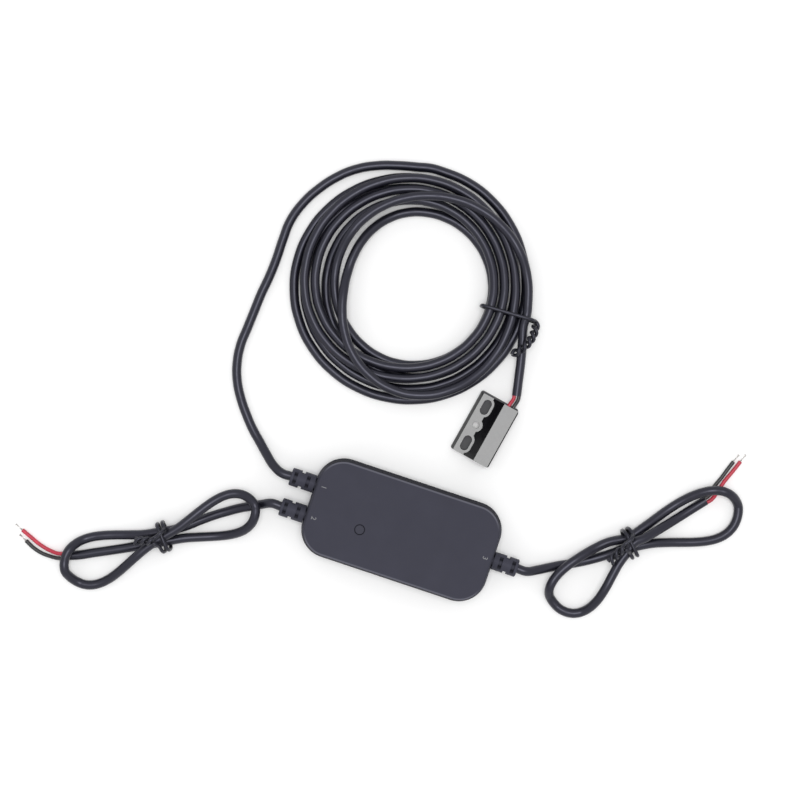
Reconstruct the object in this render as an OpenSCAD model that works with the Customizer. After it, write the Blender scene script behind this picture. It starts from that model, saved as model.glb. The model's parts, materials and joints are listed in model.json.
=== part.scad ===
// Garage door controller: a two-shell plastic box with a push button and three moulded cable
// strain reliefs. A long coiled cord runs to a screw-on door sensor. Two short cords are tied in
// bows and end in stripped wires. Millimetres, +Z up, the box stands on Z = 0 at the origin.

/* [Case] */
// Length of the box
case_l = 85; // [82:1:100]
// Width of the box
case_w = 45; // [44:1:56]
// Height of the box
case_h = 17; // [16:0.5:22]
// Height of the lower shell, where the parting line and the cord axes lie
lower_h = 8.5; // [8:0.25:9.5]
// Corner radius of the outline
corner_r = 12.5; // [11:0.5:13.5]
// Wall thickness of both shells
wall = 1.8; // [1.5:0.1:2]
// How far each side leans in between the parting line and the rim
side_lean = 1.3; // [0.8:0.1:1.6]
// Rounding of the rim
rim_r = 1.1; // [0.7:0.1:1.5]
// Height of the tongue that locates the upper shell
tongue_h = 1.2; // [0.8:0.1:1.6]
// Gap between the tongue and its rebate
seam_gap = 0.12; // [0.05:0.01:0.2]

/* [Case screws] */
// Distance of the screw axes from the outline
screw_inset = 9.5; // [9.2:0.1:10.5]
// Shank diameter of a self-tapping screw
screw_d = 2.2; // [2:0.1:2.4]
// Head diameter
screw_head_d = 4.4; // [4:0.1:4.8]
// Head height
screw_head_h = 1.5; // [1.2:0.1:1.8]
// Depth of the head below the underside
screw_sink = 0.6; // [0.3:0.1:0.9]
// Diameter of the screw columns and bosses
column_d = 6.2; // [5.8:0.1:6.6]

/* [Circuit board] */
// Clearance between the ends of the board and the floor of the wall
board_end_gap = 2.9; // [2.4:0.1:3.5]
// Clearance between the sides of the board and the floor of the wall
board_side_gap = 0.4; // [0.3:0.1:1]
// Thickness of the circuit board
board_t = 1.6; // [1:0.1:2]
// Corner radius of the circuit board
board_r = 9; // [8:0.5:10]
// Height of the board above the floor
standoff_h = 2.6; // [2.2:0.1:3]

/* [Button] */
// Distance of the button from the left end of the box
button_inset = 25; // [24.5:0.5:27]
// Distance of the button from the front side of the box
button_front = 17.3; // [16.5:0.2:19.5]
// Diameter of the button
button_d = 4.1; // [3.5:0.1:4.6]
// Gap between the button and its hole
button_gap = 0.2; // [0.15:0.05:0.3]
// Travel of the button
button_travel = 0.6; // [0.3:0.1:0.7]
// Chamfer round the mouth of the button hole
button_mouth = 0.3; // [0.2:0.05:0.4]
// Side of the switch body
switch_side = 6.2; // [6:0.1:6.6]
// Height of the switch body
switch_h = 3.4; // [3:0.1:3.8]

/* [Strain reliefs] */
// Distance of the two reliefs on the left end from the long sides
relief_inset = 15.5; // [15:0.5:16]
// Diameter of the moulded rings
relief_d = 8; // [7.4:0.1:8.4]
// Diameter of the moulded sleeve between the rings
relief_core_d = 5.4; // [5:0.1:5.8]
// Diameter of the neck that sits in the wall
relief_neck_d = 6; // [5.6:0.1:6.4]
// Length of the wide ring next to the box
relief_collar_l = 2.4; // [2:0.1:3]
// Length of each of the other rings
relief_ring_l = 1.3; // [1:0.1:1.6]
// Length of each gap between rings
relief_gap_l = 1.6; // [1.2:0.1:2]
// Width of the ribs that bridge the gaps
relief_rib_w = 2.6; // [2:0.1:3.2]
// Thickness of the flange behind the wall
relief_flange_t = 2; // [1.5:0.1:2.4]

/* [Cords] */
// Jacket diameter of the cords
cord_d = 4.1; // [3.8:0.1:4.1]
// Diameter of the insulated wires
wire_d = 1.7; // [1.5:0.1:1.75]
// Diameter of the tinned wire ends
tip_d = 0.9; // [0.7:0.1:1.1]
// Length of the tinned wire ends
tip_l = 4; // [3:0.5:6]
// Diameter of the coated wire of the ties
tie_d = 1.6; // [1.3:0.1:1.6]

/* [Door sensor] */
// Length of the sensor
sensor_l = 28.3; // [27:0.1:32]
// Width of the sensor over block and flange
sensor_w = 18.6; // [18:0.1:21]
// Height of the sensor block above its pad
sensor_h = 8.5; // [8:0.1:10]
// Thickness of the screw flange
flange_t = 3; // [2.4:0.1:3.4]
// Width of the flange, up to the foot of the block
flange_w = 6.4; // [6:0.1:7]
// Width of the top of the block
block_top_w = 7.3; // [6.8:0.1:8]
// Diameter of the middle screw hole
sensor_hole_d = 3.2; // [2.8:0.1:3.6]
// Length of each screw slot
slot_l = 7; // [6:0.5:8]
// Width of each screw slot
slot_w = 3.8; // [3.2:0.1:4]
// Distance between the two slot centres
slot_pitch = 18; // [16:0.5:19]
// Distance of the screw holes from the flange edge
hole_inset = 5; // [4.6:0.1:5.2]
// Radius cleared round a screw head
head_clear_r = 3; // [2.6:0.1:3.2]
// Thickness of the adhesive pad
pad_t = 1; // [0.6:0.1:1.5]
// How far the pad shows past the wire end
pad_show = 1; // [0.5:0.1:1.5]

/* [Hidden] */
$fn = 48;

charcoal = [0.20, 0.20, 0.23];
black_pvc = [0.12, 0.12, 0.14];
black_gloss = [0.10, 0.10, 0.11];
red_pvc = [0.75, 0.10, 0.10];
tinned = [0.78, 0.78, 0.80];
cut_over = 0.5;
rim_steps = 6;

// Places of the case's inner pieces
upper_h = case_h - lower_h;
roof_z = case_h - wall;
board_z = wall + standoff_h;
board_top = board_z + board_t;
end_x = case_l / 2;
screw_places = [for (x = [-1, 1], y = [-1, 1])
    [x * (end_x - screw_inset), y * (case_w / 2 - screw_inset)]];
board_l = case_l - 2 * (wall + side_lean + board_end_gap);
board_w = case_w - 2 * (wall + side_lean + board_side_gap);
button_x = button_inset - end_x;
button_y = button_front - case_w / 2;
screw_seat = screw_sink + screw_head_h;
screw_grip = 4.5;
screw_fit = 0.1;
board_hole_d = 3.2;

// Places on the board, from its right end and its front and back edges
board_right = board_l / 2;
board_front = -board_w / 2;
board_back = board_w / 2;
header_size = [6.4, 7.6, 5.6];
plug_size = [8, 6.1, 4];
plug_fit = 0.15;
plug_depth = 5;
header_inset = 9;
lead_pitch = 2;
pin_d = 0.7;
pin_l = 4;
pin_hole_d = 0.9;
relay_size = [15, 7.6, 8];
relay_place = [board_right - 39.5, board_front + 6];
radio_size = [24, 16, 0.8];
radio_place = [board_right - 28.5, board_back - 10];
shield_size = [15.2, 12.4, 2.4];
shield_shift = 3.4;
inductor_size = [7, 7, 4];
inductor_place = [board_right - 27, board_front + 6];
capacitor_d = 6.3;
capacitor_h = 7.5;
capacitor_places = [[board_right - 19.5, board_front + 11], [board_right - 19.5, board_front + 4]];
chip_size = [5, 4, 1.6];
// The regulator stands midway between the inductor and the radio board
inductor_back = inductor_place.y + inductor_size.y / 2;
radio_front = radio_place.y - radio_size.y / 2;
chip_place = [inductor_place.x, (inductor_back + radio_front) / 2];

// Button stack, from the switch up to the roof
plunger_d = 3.5;
plunger_fit = 0.12;
plunger_sunk = 0.9;
plunger_out = 1.2;
plunger_room = 0.2;
switch_top = board_top + switch_h;
plunger_top = switch_top + plunger_out;
collar_l = 1.4;
collar_wall = 1.4;
button_flange_d = 6.4;
button_flange_t = 0.8;
button_sink = 0.1;
button_edge = 0.3;
flange_rest = 0.1;

// Strain relief places: the box end that each sits in, and its axis
relief_y = case_w / 2 - relief_inset;
relief_places = [[-1, relief_y], [-1, -relief_y], [1, 0]];
relief_fit = 0.1;
relief_steps = [0, relief_collar_l, relief_collar_l + relief_gap_l,
    relief_collar_l + relief_gap_l + relief_ring_l,
    relief_collar_l + 2 * relief_gap_l + relief_ring_l,
    relief_collar_l + 2 * relief_gap_l + 2 * relief_ring_l,
    relief_collar_l + 3 * relief_gap_l + 2 * relief_ring_l,
    relief_collar_l + 3 * relief_gap_l + 3 * relief_ring_l];
relief_l = relief_steps[7];
relief_edge = 0.5;
flange_back = wall + relief_fit + side_lean * relief_d / 2 / min(lower_h, upper_h);
inner_face_x = end_x - flange_back - relief_flange_t;

// Heights at which the cords lie: on the surface, one layer up, and on a tie
cord_r = cord_d / 2;
soft_gap = 0.5;
layer_step = cord_d + soft_gap;
floor_z = cord_r + 0.05;
layer_z = floor_z + layer_step;
tie_lift = tie_d + 0.45;
waist_low = floor_z + tie_lift;
waist_high = waist_low + layer_step;
tie_clear = 0.35;
bow_spread = 2.35;
ring_sides = 6;
loop_rings = 24;

// Sensor cord: free points out of the box, then the coil, then down to the sensor
sensor_lead_points = [
    [-62.5, 9, 7], [-67, 12.5, 4.8], [-71.5, 16.5, 3], [-76.5, 21, 2.2],
    [-81, 26, 2.1], [-86, 32.5, 2.1], [-90, 39.5, 2.1], [-92.5, 47, 2.1], [-93.5, 55, 2.1],
    [-93, 63, 2.1], [-92.5, 71, 2.1], [-92, 79, 2.1], [-91, 87.5, 2.1], [-90.5, 96, 2.1],
    [-90.5, 105, 2.1], [-90, 114, 2.1], [-87, 123.5, 2.1], [-82.5, 131.5, 2.1],
    [-76.5, 139, 2.1], [-69.5, 145, 2.1], [-61, 149.5, 2.1], [-52, 152.5, 2.1],
    [-44, 154.5, 2.1],
];
sensor_tail_points = [[22.5, 102.5, 8], [24.5, 95, 7.2], [26.5, 87, 6.6], [28, 79.5, 6.4], [29.5, 72, 6.2]];
coil_centre = [-29.2, 103.8];
coil_outer_r = 52.8;
coil_lane = 4.7;
coil_start = 95;
coil_end = 8;
coil_turns = 7;
coil_sweep = coil_turns + (coil_start - coil_end) / 360;
// Lanes in from the outside that the cord has moved at each quarter turn, from this angle on
coil_first = 108.45;
coil_lanes = [
    0, 0.6, 0.49, 0,
    1.02, 1.62, 1.51, 1,
    2.04, 2.67, 2.57, 3.02,
    3.22, 3.66, 3.5, 2.05,
    2.2, 2.66, 2.5, 1.05,
    1.15, 1.62, 0.94, 4.82,
    4.25, 3.76, 3.75, 3.86,
    3.02, 0.47, 0.17, 0.17,
];
// Layer in which the cord lies after so many quarter turns
coil_layers = [
    [0, 0], [11, 0], [11.6, 1], [21.4, 1], [21.9, 2], [22.85, 2], [23.2, 1], [23.3, 1],
    [23.9, 0], [26.4, 0], [27, 1], [27.1, 1], [27.55, 2], [28.75, 2], [29.05, 1], [30, 1],
];
coil_curl = 0.5;
tie_angle = 2;
lift_sharpness = 12;

// Trigger cord: a bow of two crossed loops
trigger_waist = [-98.6, -36.3];
trigger_axis = 39;
trigger_lead_points = [
    [-62, -9, 6.3], [-66.5, -11.5, 4.5], [-71, -14, 3], [-76, -17.3, 2.2],
    [-81, -20.8, 2.1], [-86, -24.8, 2.1], [-91, -29, 2.6],
];
trigger_tail_points = [[-105, -42.3, 2.6], [-112, -46.1, 2.1], [-119, -49.7, 2.1], [-126, -53.2, 2.1],
    [-132, -56.3, 2.1], [-138, -58.6, 2.1]];
trigger_red_points = [[-144.5, -58.6, 1.3], [-150, -57.5, 1.1], [-155, -55.6, 1], [-159.5, -53.8, 1]];
trigger_black_points = [[-144, -61, 1.2], [-148.5, -60.8, 1], [-152.5, -59.7, 1], [-156.5, -57.8, 1]];

// Power cord: a pinched oval of two loops
power_waist = [97.6, 26.3];
power_axis = 43;
power_top = [97.9, 23.4];
power_lead_points = [
    [62.5, 2, 6.2], [67, 4.4, 4.4], [71.5, 6.8, 2.9], [76.5, 9.3, 2.2],
    [82, 12.4, 2.1], [87.5, 16, 2.2], [92.5, 19.8, 3.2],
];
power_tail_points = [[102.6, 30.2, 8.2], [106.4, 34.3, 6.6], [110.6, 38.8, 4.3], [114.7, 43.4, 2.7],
    [119.2, 48.8, 2.1], [124, 54.6, 2.1]];
power_red_points = [[128.2, 61.1, 1.4], [129.5, 65.5, 1], [131.6, 70.9, 1], [133.4, 75.9, 1]];
power_black_points = [[125.8, 61.7, 1.2], [127.5, 66, 1], [129.1, 70.9, 1], [130.5, 74.9, 1]];

// Loops of the bows: heading, reach and breadth. A loop leaves the waist blunter than a sine
trigger_left_loop = [219.5, 46, 19.5];
trigger_right_loop = [39, 43, 16.3];
power_right_loop = [37, 51, 19.4];
power_left_loop = [239.5, 42, 18.8];
loop_blunt = 0.85;
wire_spread = 1.05;
wire_straight = 2.5;

// Ties: where each twist starts, bends and ends, its turns and its half width
twist_r = tie_d / 2 + 0.35;
twist_steps = 8;
tie_pitch = 2.3;
tie_gap_angle = 24;
bridge_along = -1;
bridge_across = -2.4;
bridge_rise = 5.7;

// Sensor placing, and its inner pieces in its own directions
sensor_place = [20.9, 53.3];
sensor_turn = 79.3;
sensor_corner_r = 1;
sensor_edge = 0.5;
flange_lean = 1.3;
flange_edge_h = 0.8;
block_foot = sensor_w / 2 - flange_w;
hole_y = sensor_w / 2 - hole_inset;
pocket_l = 22;
pocket_w = 5.2;
pocket_y = -5;
pocket_h = 7;
filler_t = 1.4;
filler_fit = 0.1;
cradle_l = 2;
cradle_x = 4.5;
reed_d = 2.6;
reed_bore_d = 1.9;
reed_l = 14;
reed_z = 3.4;
reed_lead_d = 0.6;
reed_lead_l = 2.6;
blade_w = 1.2;
blade_t = 0.25;
blade_lap = 2;
blade_gap = 0.15;
wire_hole_d = 2;
wire_hole_z = 5.6;
wire_hole_y = [-4.2, -6.3];

// Small vector and curve helpers
function unit(v) = v / norm(v);
function smooth(t) = t * t * (3 - 2 * t);
function bezier(a, b, c, t) = a * (1 - t) * (1 - t) + b * 2 * t * (1 - t) + c * t * t;
function eased(knots, s, i = 0) =
    i >= len(knots) - 2 || s <= knots[i + 1][0]
    ? knots[i][1] + (knots[i + 1][1] - knots[i][1])
        * smooth((s - knots[i][0]) / (knots[i + 1][0] - knots[i][0]))
    : eased(knots, s, i + 1);
function last(list, back = 0) = list[len(list) - 1 - back];

// Direction of a route at point i, with the points that come before and after it
function heading_at(route, i, before, after) =
    unit((i < len(route) - 1 ? route[i + 1] : after) - (i > 0 ? route[i - 1] : before));

// One ring of a tube, square to the route
function ring(centre, dir, side, d, sides) =
    [for (k = [0 : sides - 1]) let (a = 360 * (k + 0.5) / sides)
        centre + d / 2 * (cos(a) * side + sin(a) * cross(side, dir))];

// Carries a sideways direction along the route with no more turn than it needs
function squared(side, dir) = unit(side - (side * dir) * dir);
function carried(dirs, count) = [
    for (i = 0, side = unit(cross(dirs[0], [0, 0, 1])); i < count;
        i = i + 1, side = i < count ? squared(side, dirs[i]) : side) side];

// A closed tube along a route
module tube(route, d, sides, before, after) {
    count = len(route);
    dirs = [for (i = [0 : count - 1]) heading_at(route, i, before, after)];
    across = carried(dirs, count);
    rings = [for (i = [0 : count - 1]) each ring(route[i], dirs[i], across[i], d, sides)];
    walls = [for (i = [0 : count - 2], k = [0 : sides - 1])
        let (a = i * sides + k, b = i * sides + (k + 1) % sides)
        each [[a, b + sides, b], [a, a + sides, b + sides]]];
    caps = [for (k = [1 : sides - 2])
        each [[0, k, k + 1], [(count - 1) * sides, (count - 1) * sides + k + 1, (count - 1) * sides + k]]];
    polyhedron(rings, concat(walls, caps));
}

// Least gap between the turns of a wound tube, measured on its points
function least_gap(route, d, apart) =
    min([for (i = [0 : len(route) - 1]) let (near = [for (j = [i + 1 : 1 : len(route) - 1])
        if (norm(route[i] - route[j]) < 4 * d && j - i > apart) norm(route[i] - route[j])])
        len(near) > 0 ? min(near) - d : 4 * d]);

// Adds a straight run of one diameter to both ends of a wound route. The curl carries the bend on
function carried_on(a, b, c, curl) = unit((1 + curl) * (a - b) - curl * (b - c));
function with_straight_ends(route, d, curl = 0) = concat(
    [route[0] + d * carried_on(route[0], route[1], route[2], curl)],
    route,
    [last(route) + d * carried_on(last(route), last(route, 1), last(route, 2), curl)]);

// A smooth value between the values of a list
function through(values, place) =
    let (
        k = floor(place),
        s = place - k,
        a = values[max(k - 1, 0)],
        b = values[k],
        c = values[k + 1],
        d = values[k + 2])
    b + s / 2 * (c - a + s * (2 * a - 5 * b + 4 * c - d + s * (3 * (b - c) + d - a)));

// The coil, wound by hand: in on the surface, out over the turns to the rim, across them to the
// inside, and out to the rim again
function coil_point(t) =
    let (
        angle = coil_start - 360 * t,
        from_tie = cos(angle - tie_angle),
        quarters = (coil_first - angle) / 90,
        r = coil_outer_r - coil_lane * through(coil_lanes, quarters),
        lift = tie_lift * pow((1 + from_tie) / 2, lift_sharpness))
    [coil_centre.x + r * cos(angle),
     coil_centre.y + r * sin(angle),
     floor_z + eased(coil_layers, quarters) * layer_step + lift];
coil_steps = round(coil_sweep * loop_rings);
coil_route = with_straight_ends(
    [for (i = [0 : coil_steps]) coil_point(i * coil_sweep / coil_steps)], cord_d, coil_curl);

// One loop of a bow: out from the waist on one side and back on the other
function bow_loop(from, to, loop, side, pinch, heights) =
    [for (i = [0 : loop_rings]) let (
        s = i / loop_rings,
        heading = loop[0],
        along = loop[1] * pow(abs(sin(180 * s)), loop_blunt),
        across = side * loop[2] / 2 * rounded_power(sin(360 * s), pinch[s < 0.5 ? 0 : 1]),
        base = from + (to - from) * s)
        [base.x + along * cos(heading) - across * sin(heading),
         base.y + along * sin(heading) + across * cos(heading),
         eased(heights, s)]];
function waist_point(waist, axis, offset) = waist + offset * [-sin(axis), cos(axis)];
function joined(a, b) = concat(a, [for (i = [1 : len(b) - 1]) b[i]]);

trigger_bow = with_straight_ends(joined(
    bow_loop(waist_point(trigger_waist, trigger_axis, bow_spread), trigger_waist,
        trigger_left_loop, -1, [1.25, 1.25],
        [[0, waist_low], [0.12, floor_z], [0.22, floor_z], [0.36, layer_z + 0.2], [0.46, layer_z + 0.2],
         [0.64, floor_z], [0.76, floor_z], [0.94, waist_high], [1, waist_high]]),
    bow_loop(trigger_waist, waist_point(trigger_waist, trigger_axis, -bow_spread),
        trigger_right_loop, 1, [1.25, 1.25],
        [[0, waist_high], [0.08, waist_high], [0.2, layer_z + 1], [0.3, layer_z + 1], [0.5, layer_z + 3.8],
         [0.58, layer_z + 3.5], [0.86, floor_z], [1, waist_low]])), cord_d);
power_bow = with_straight_ends(joined(
    bow_loop(waist_point(power_waist, power_axis, -bow_spread),
        waist_point(power_waist, power_axis, bow_spread),
        power_right_loop, -1, [1.4, 1.05],
        [[0, waist_low], [0.12, floor_z], [0.48, floor_z], [0.64, layer_z], [0.7, layer_z],
         [0.88, floor_z], [1, waist_low]]),
    bow_loop(waist_point(power_waist, power_axis, bow_spread), power_top,
        power_left_loop, -1, [0.6, 1.25],
        [[0, waist_low], [0.06, waist_low + 0.2], [0.17, layer_z + 0.3], [0.34, layer_z + 0.3],
         [0.5, floor_z], [0.69, floor_z], [0.89, waist_high], [1, waist_high]])), cord_d);

// A tie: one wire that starts in a twist, goes round the bundle and ends in the same twist
function twist(axis, turns, phase) =
    [for (i = [0 : turns * twist_steps]) let (
        t = i / (turns * twist_steps),
        centre = bezier(axis[0], axis[1], axis[2], t),
        dir = unit(bezier(axis[0], axis[1], axis[2], t + 0.01) - bezier(axis[0], axis[1], axis[2], t - 0.01)),
        side = unit(cross(dir, [0, 0, 1])),
        a = phase + 360 * i / twist_steps)
        centre + twist_r * (cos(a) * side + sin(a) * cross(side, dir))];
function rounded_power(v, power) = sign(v) * pow(abs(v), power);
function tie_rings(place, turn, half_w, squareness, wraps, start) =
    let (
        low = tie_d / 2 + 0.05,
        high = waist_high + cord_r + tie_clear + tie_d / 2,
        across = half_w + tie_clear + tie_d / 2,
        span = 360 * wraps - 2 * tie_gap_angle,
        steps = wraps * loop_rings)
    [for (i = [0 : steps]) let (
        a = start + tie_gap_angle + span * i / steps,
        along = wraps > 1 ? wraps * tie_pitch * (i / steps - 0.5) : 0,
        y = across * rounded_power(cos(a), 2 / squareness))
        [place.x + along * cos(turn) - y * sin(turn),
         place.y + along * sin(turn) + y * cos(turn),
         (low + high) / 2 + (high - low) / 2 * rounded_power(sin(a), 2 / squareness)]];
function reversed(list) = [for (i = [len(list) - 1 : -1 : 0]) list[i]];
function tie_bridge(place, turn) = [[
    place.x + bridge_along * cos(turn) - bridge_across * sin(turn),
    place.y + bridge_along * sin(turn) + bridge_across * cos(turn),
    waist_high + bridge_rise]];
function tie_route(axis, turns, phase, bridge, rings) =
    concat(reversed(twist(axis, turns, phase)), bridge, rings, twist(axis, turns, phase + 180));

coil_bundle_r = coil_outer_r - 2 * coil_lane;
coil_bundle_half = 10.7;
coil_tie_route = tie_route(
    [[27.4, 105, 7.4], [29.6, 95.5, 13], [21.5, 88.5, 11.6]], 3, 90, [],
    tie_rings(coil_centre + coil_bundle_r * [cos(tie_angle), sin(tie_angle)], tie_angle - 90,
        coil_bundle_half, 6, 1, 0));
bow_ease = 0.7;
bow_bundle_half = bow_spread + cord_r + bow_ease;
trigger_tie_route = tie_route(
    [[-101.3, -38.5, 14.7], [-105.5, -40, 14.7], [-109.5, -41.5, 11]], 1.5, 0,
    tie_bridge(trigger_waist, trigger_axis + 180),
    tie_rings(trigger_waist, trigger_axis + 180, bow_bundle_half, 3.6, 2, 90));
power_tie_route = tie_route(
    [[95, 23.9, 14.7], [92, 20.5, 14.7], [91.5, 15.5, 11]], 1.5, 0,
    tie_bridge(power_waist, power_axis + 180),
    tie_rings(power_waist, power_axis + 180, bow_bundle_half, 3.6, 2, 90));

echo(least_gap_of_coil = least_gap(coil_route, cord_d, 8));
echo(least_gap_of_trigger_bow = least_gap(trigger_bow, cord_d, 8));
echo(least_gap_of_power_bow = least_gap(power_bow, cord_d, 8));
echo(least_gap_of_coil_tie = least_gap(coil_tie_route, tie_d, 5));
echo(least_gap_of_trigger_tie = least_gap(trigger_tie_route, tie_d, 5));
echo(least_gap_of_power_tie = least_gap(power_tie_route, tie_d, 5));

// Whole routes of the cords between their fixed ends
drawn_tips = [[-53.6, 7, 8.5], [-53.6, -7, 8.5], [53.6, 0, 8.5]];
lead_straight = 4.2;
function relief_tip(i) = [relief_places[i][0] * (end_x + relief_l), relief_places[i][1], lower_h];
function relief_out(i) = [relief_places[i][0] * lead_straight, 0, 0];
function followed(points, i) =
    let (move = relief_tip(i) - drawn_tips[i])
    [for (k = [0 : len(points) - 1]) let (p = points[k] + move * (1 - k / len(points)))
        [p.x, p.y, max(p.z, floor_z)]];
function lead_route(i, points, wound) =
    concat([relief_tip(i), relief_tip(i) + relief_out(i)], followed(points, i), [wound[0]]);
sensor_lead = lead_route(0, sensor_lead_points, coil_route);
sensor_tail = concat([last(coil_route)], sensor_tail_points);
trigger_lead = lead_route(1, trigger_lead_points, trigger_bow);
trigger_tail = concat([last(trigger_bow)], trigger_tail_points);
power_lead = lead_route(2, power_lead_points, power_bow);
power_tail = concat([last(power_bow)], power_tail_points);

// A stripped wire starts square on the end of its jacket, to the left or right of the middle
function end_dir(route) = unit(last(route) - last(route, 1));
function wire_start(route, hand) =
    last(route) + hand * wire_spread * unit(cross([0, 0, 1], end_dir(route)));
function wire_route(route, hand, points) = concat(
    [wire_start(route, hand), wire_start(route, hand) + wire_straight * end_dir(route)], points);

// Turns the sensor's own directions into the frame of the box
function at_sensor(x, y, z) = [
    sensor_place.x + x * cos(sensor_turn) - y * sin(sensor_turn),
    sensor_place.y + x * sin(sensor_turn) + y * cos(sensor_turn),
    pad_t + z];

// Shell forms. The profile leans in from z = 0 to a rounded rim, and may reach down below z = 0
module lean_profile(half, rise, lean, edge, drop) {
    slope = atan(lean / rise);
    centre_z = rise - edge;
    centre_x = half - tan(slope) * centre_z - edge / cos(slope);
    polygon(concat([[0, -drop], [half, -drop]], drop > 0 ? [[half, 0]] : [],
        [for (i = [0 : rim_steps]) let (a = slope + (90 - slope) * i / rim_steps)
            [centre_x + edge * cos(a), centre_z + edge * sin(a)]],
        [[0, rise]]));
}

// A slab made of a core, four sides and four quarter-round corners, which meet face to face
module leaning_slab(l, w, r, rise, lean, edge, drop = 0) {
    core_l = l - 2 * r;
    core_w = w - 2 * r;
    translate([-core_l / 2, -core_w / 2, -drop]) cube([core_l, core_w, rise + drop]);
    for (side = [-1, 1]) {
        translate([side * core_l / 2, -side * core_w / 2, 0]) rotate([90, 0, side > 0 ? 0 : 180])
            mirror([0, 0, 1]) linear_extrude(core_w) lean_profile(r, rise, lean, edge, drop);
        translate([side * core_l / 2, side * core_w / 2, 0]) rotate([90, 0, side * 90])
            mirror([0, 0, 1]) linear_extrude(core_l) lean_profile(r, rise, lean, edge, drop);
    }
    for (i = [0 : 3]) rotate(90 * i)
        translate([(i % 2 == 0 ? core_l : core_w) / 2, (i % 2 == 0 ? core_w : core_l) / 2, 0])
            rotate_extrude(angle = 90) lean_profile(r, rise, lean, edge, drop);
}

module half_shell(rise) {
    inner_edge = max(0.3, rim_r - wall / 2);
    difference() {
        leaning_slab(case_l, case_w, corner_r, rise, side_lean, rim_r);
        leaning_slab(case_l - 2 * wall, case_w - 2 * wall, corner_r - wall, rise - wall,
            side_lean * (rise - wall) / rise, inner_edge, cut_over);
    }
}

module outline(inset) {
    l = case_l - 2 * inset;
    w = case_w - 2 * inset;
    r = corner_r - inset;
    round_plate(l, w, r);
}

module round_plate(l, w, r) {
    square([l - 2 * r, w], center = true);
    square([l, w - 2 * r], center = true);
    for (x = [-1, 1], y = [-1, 1])
        translate([x * (l / 2 - r), y * (w / 2 - r)]) circle(r = r);
}

module relief_holes() {
    for (place = relief_places)
        translate([place[0] * (end_x - 2 * wall), place[1], lower_h]) rotate([0, place[0] * 90, 0])
            cylinder(h = 3 * wall, d = relief_neck_d + 2 * relief_fit);
}

module lower_shell() {
    color(charcoal) difference() {
        union() {
            translate([0, 0, lower_h]) mirror([0, 0, 1]) half_shell(lower_h);
            translate([0, 0, lower_h - tongue_root]) linear_extrude(tongue_root + tongue_h) difference() {
                outline(wall / 2 + seam_gap);
                outline(wall - tongue_ledge);
            }
            for (place = screw_places)
                translate([place.x, place.y, wall / 2]) cylinder(h = board_z - wall / 2, d = column_d);
            for (x = board_rests)
                translate([x, 0, wall / 2]) cylinder(h = board_z - wall / 2, d = board_rest_d);
        }
        relief_holes();
        for (place = screw_places) translate([place.x, place.y, -cut_over]) {
            cylinder(h = cut_over + screw_seat, d = screw_head_d + 2 * screw_fit);
            cylinder(h = cut_over + case_h, d = screw_d + 4 * screw_fit);
        }
    }
}

module upper_shell() {
    color(charcoal) difference() {
        union() {
            translate([0, 0, lower_h]) half_shell(upper_h);
            for (place = screw_places)
                translate([place.x, place.y, board_top])
                    cylinder(h = roof_z - board_top + wall / 2, d = column_d);
            translate([button_x, button_y, roof_z - collar_l])
                cylinder(h = collar_l + wall / 2, d = button_d + 2 * button_gap + 2 * collar_wall);
        }
        translate([0, 0, lower_h - cut_over]) linear_extrude(cut_over + tongue_h + seam_gap)
            difference() {
                outline(wall / 2);
                outline(wall + rebate_over);
            }
        relief_holes();
        for (place = screw_places)
            translate([place.x, place.y, board_top - cut_over])
                cylinder(h = cut_over + screw_grip, d = screw_d + screw_fit);
        translate([button_x, button_y, lower_h])
            cylinder(h = upper_h + cut_over, d = button_d + 2 * button_gap);
        translate([button_x, button_y, case_h - button_mouth])
            cylinder(h = button_mouth + 0.01, r1 = button_d / 2 + button_gap,
                r2 = button_d / 2 + button_gap + button_mouth);
    }
}
tongue_root = 0.6;
rebate_over = 0.4;
tongue_ledge = 0.08;
board_rests = [-8, 26];
board_rest_d = 4;

module case_screws() {
    color(tinned) for (place = screw_places) translate([place.x, place.y, screw_sink]) difference() {
        union() {
            cylinder(h = screw_head_h, d = screw_head_d);
            cylinder(h = board_top + screw_grip - screw_sink - screw_fit, d = screw_d);
        }
        for (a = [0, 90]) rotate(a) translate([-cross_l / 2, -cross_w / 2, -cut_over])
            cube([cross_l, cross_w, cut_over + cross_depth]);
    }
}
cross_l = 2.6;
cross_w = 0.6;
cross_depth = 0.8;

// Circuit board and what is soldered on it
module circuit_board() {
    color([0.06, 0.30, 0.16]) translate([0, 0, board_z]) linear_extrude(board_t) difference() {
        round_plate(board_l, board_w, board_r);
        for (place = screw_places) translate(place) circle(d = board_hole_d);
    }
}

module on_board(place) {
    translate([place.x, place.y, board_top]) children();
}

module standing_block(size) {
    translate([-size.x / 2, -size.y / 2, 0]) cube(size);
}

module radio_board() {
    color([0.08, 0.14, 0.24]) on_board(radio_place) standing_block(radio_size);
}

module radio_shield() {
    color(tinned)
        on_board(radio_place) translate([shield_shift, 0, radio_size.z]) standing_block(shield_size);
}

module relay() {
    color([0.10, 0.10, 0.12]) on_board(relay_place) standing_block(relay_size);
}

module power_inductor() {
    color([0.25, 0.25, 0.26]) on_board(inductor_place) intersection() {
        standing_block(inductor_size);
        cylinder(h = inductor_size.z, d = inductor_size.x * 1.25);
    }
}

module capacitors() {
    color([0.15, 0.17, 0.30]) for (place = capacitor_places) on_board(place)
        cylinder(h = capacitor_h, d = capacitor_d);
}

module regulator_chip() {
    color([0.08, 0.08, 0.09]) on_board(chip_place) standing_block(chip_size);
}

// Side-entry headers face the ends of the box, and the plugs slide into them
module at_header(place) {
    translate([place[0] * (board_l / 2 - header_inset), place[1], board_top])
        mirror([place[0] > 0 ? 0 : 1, 0, 0]) children();
}

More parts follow.
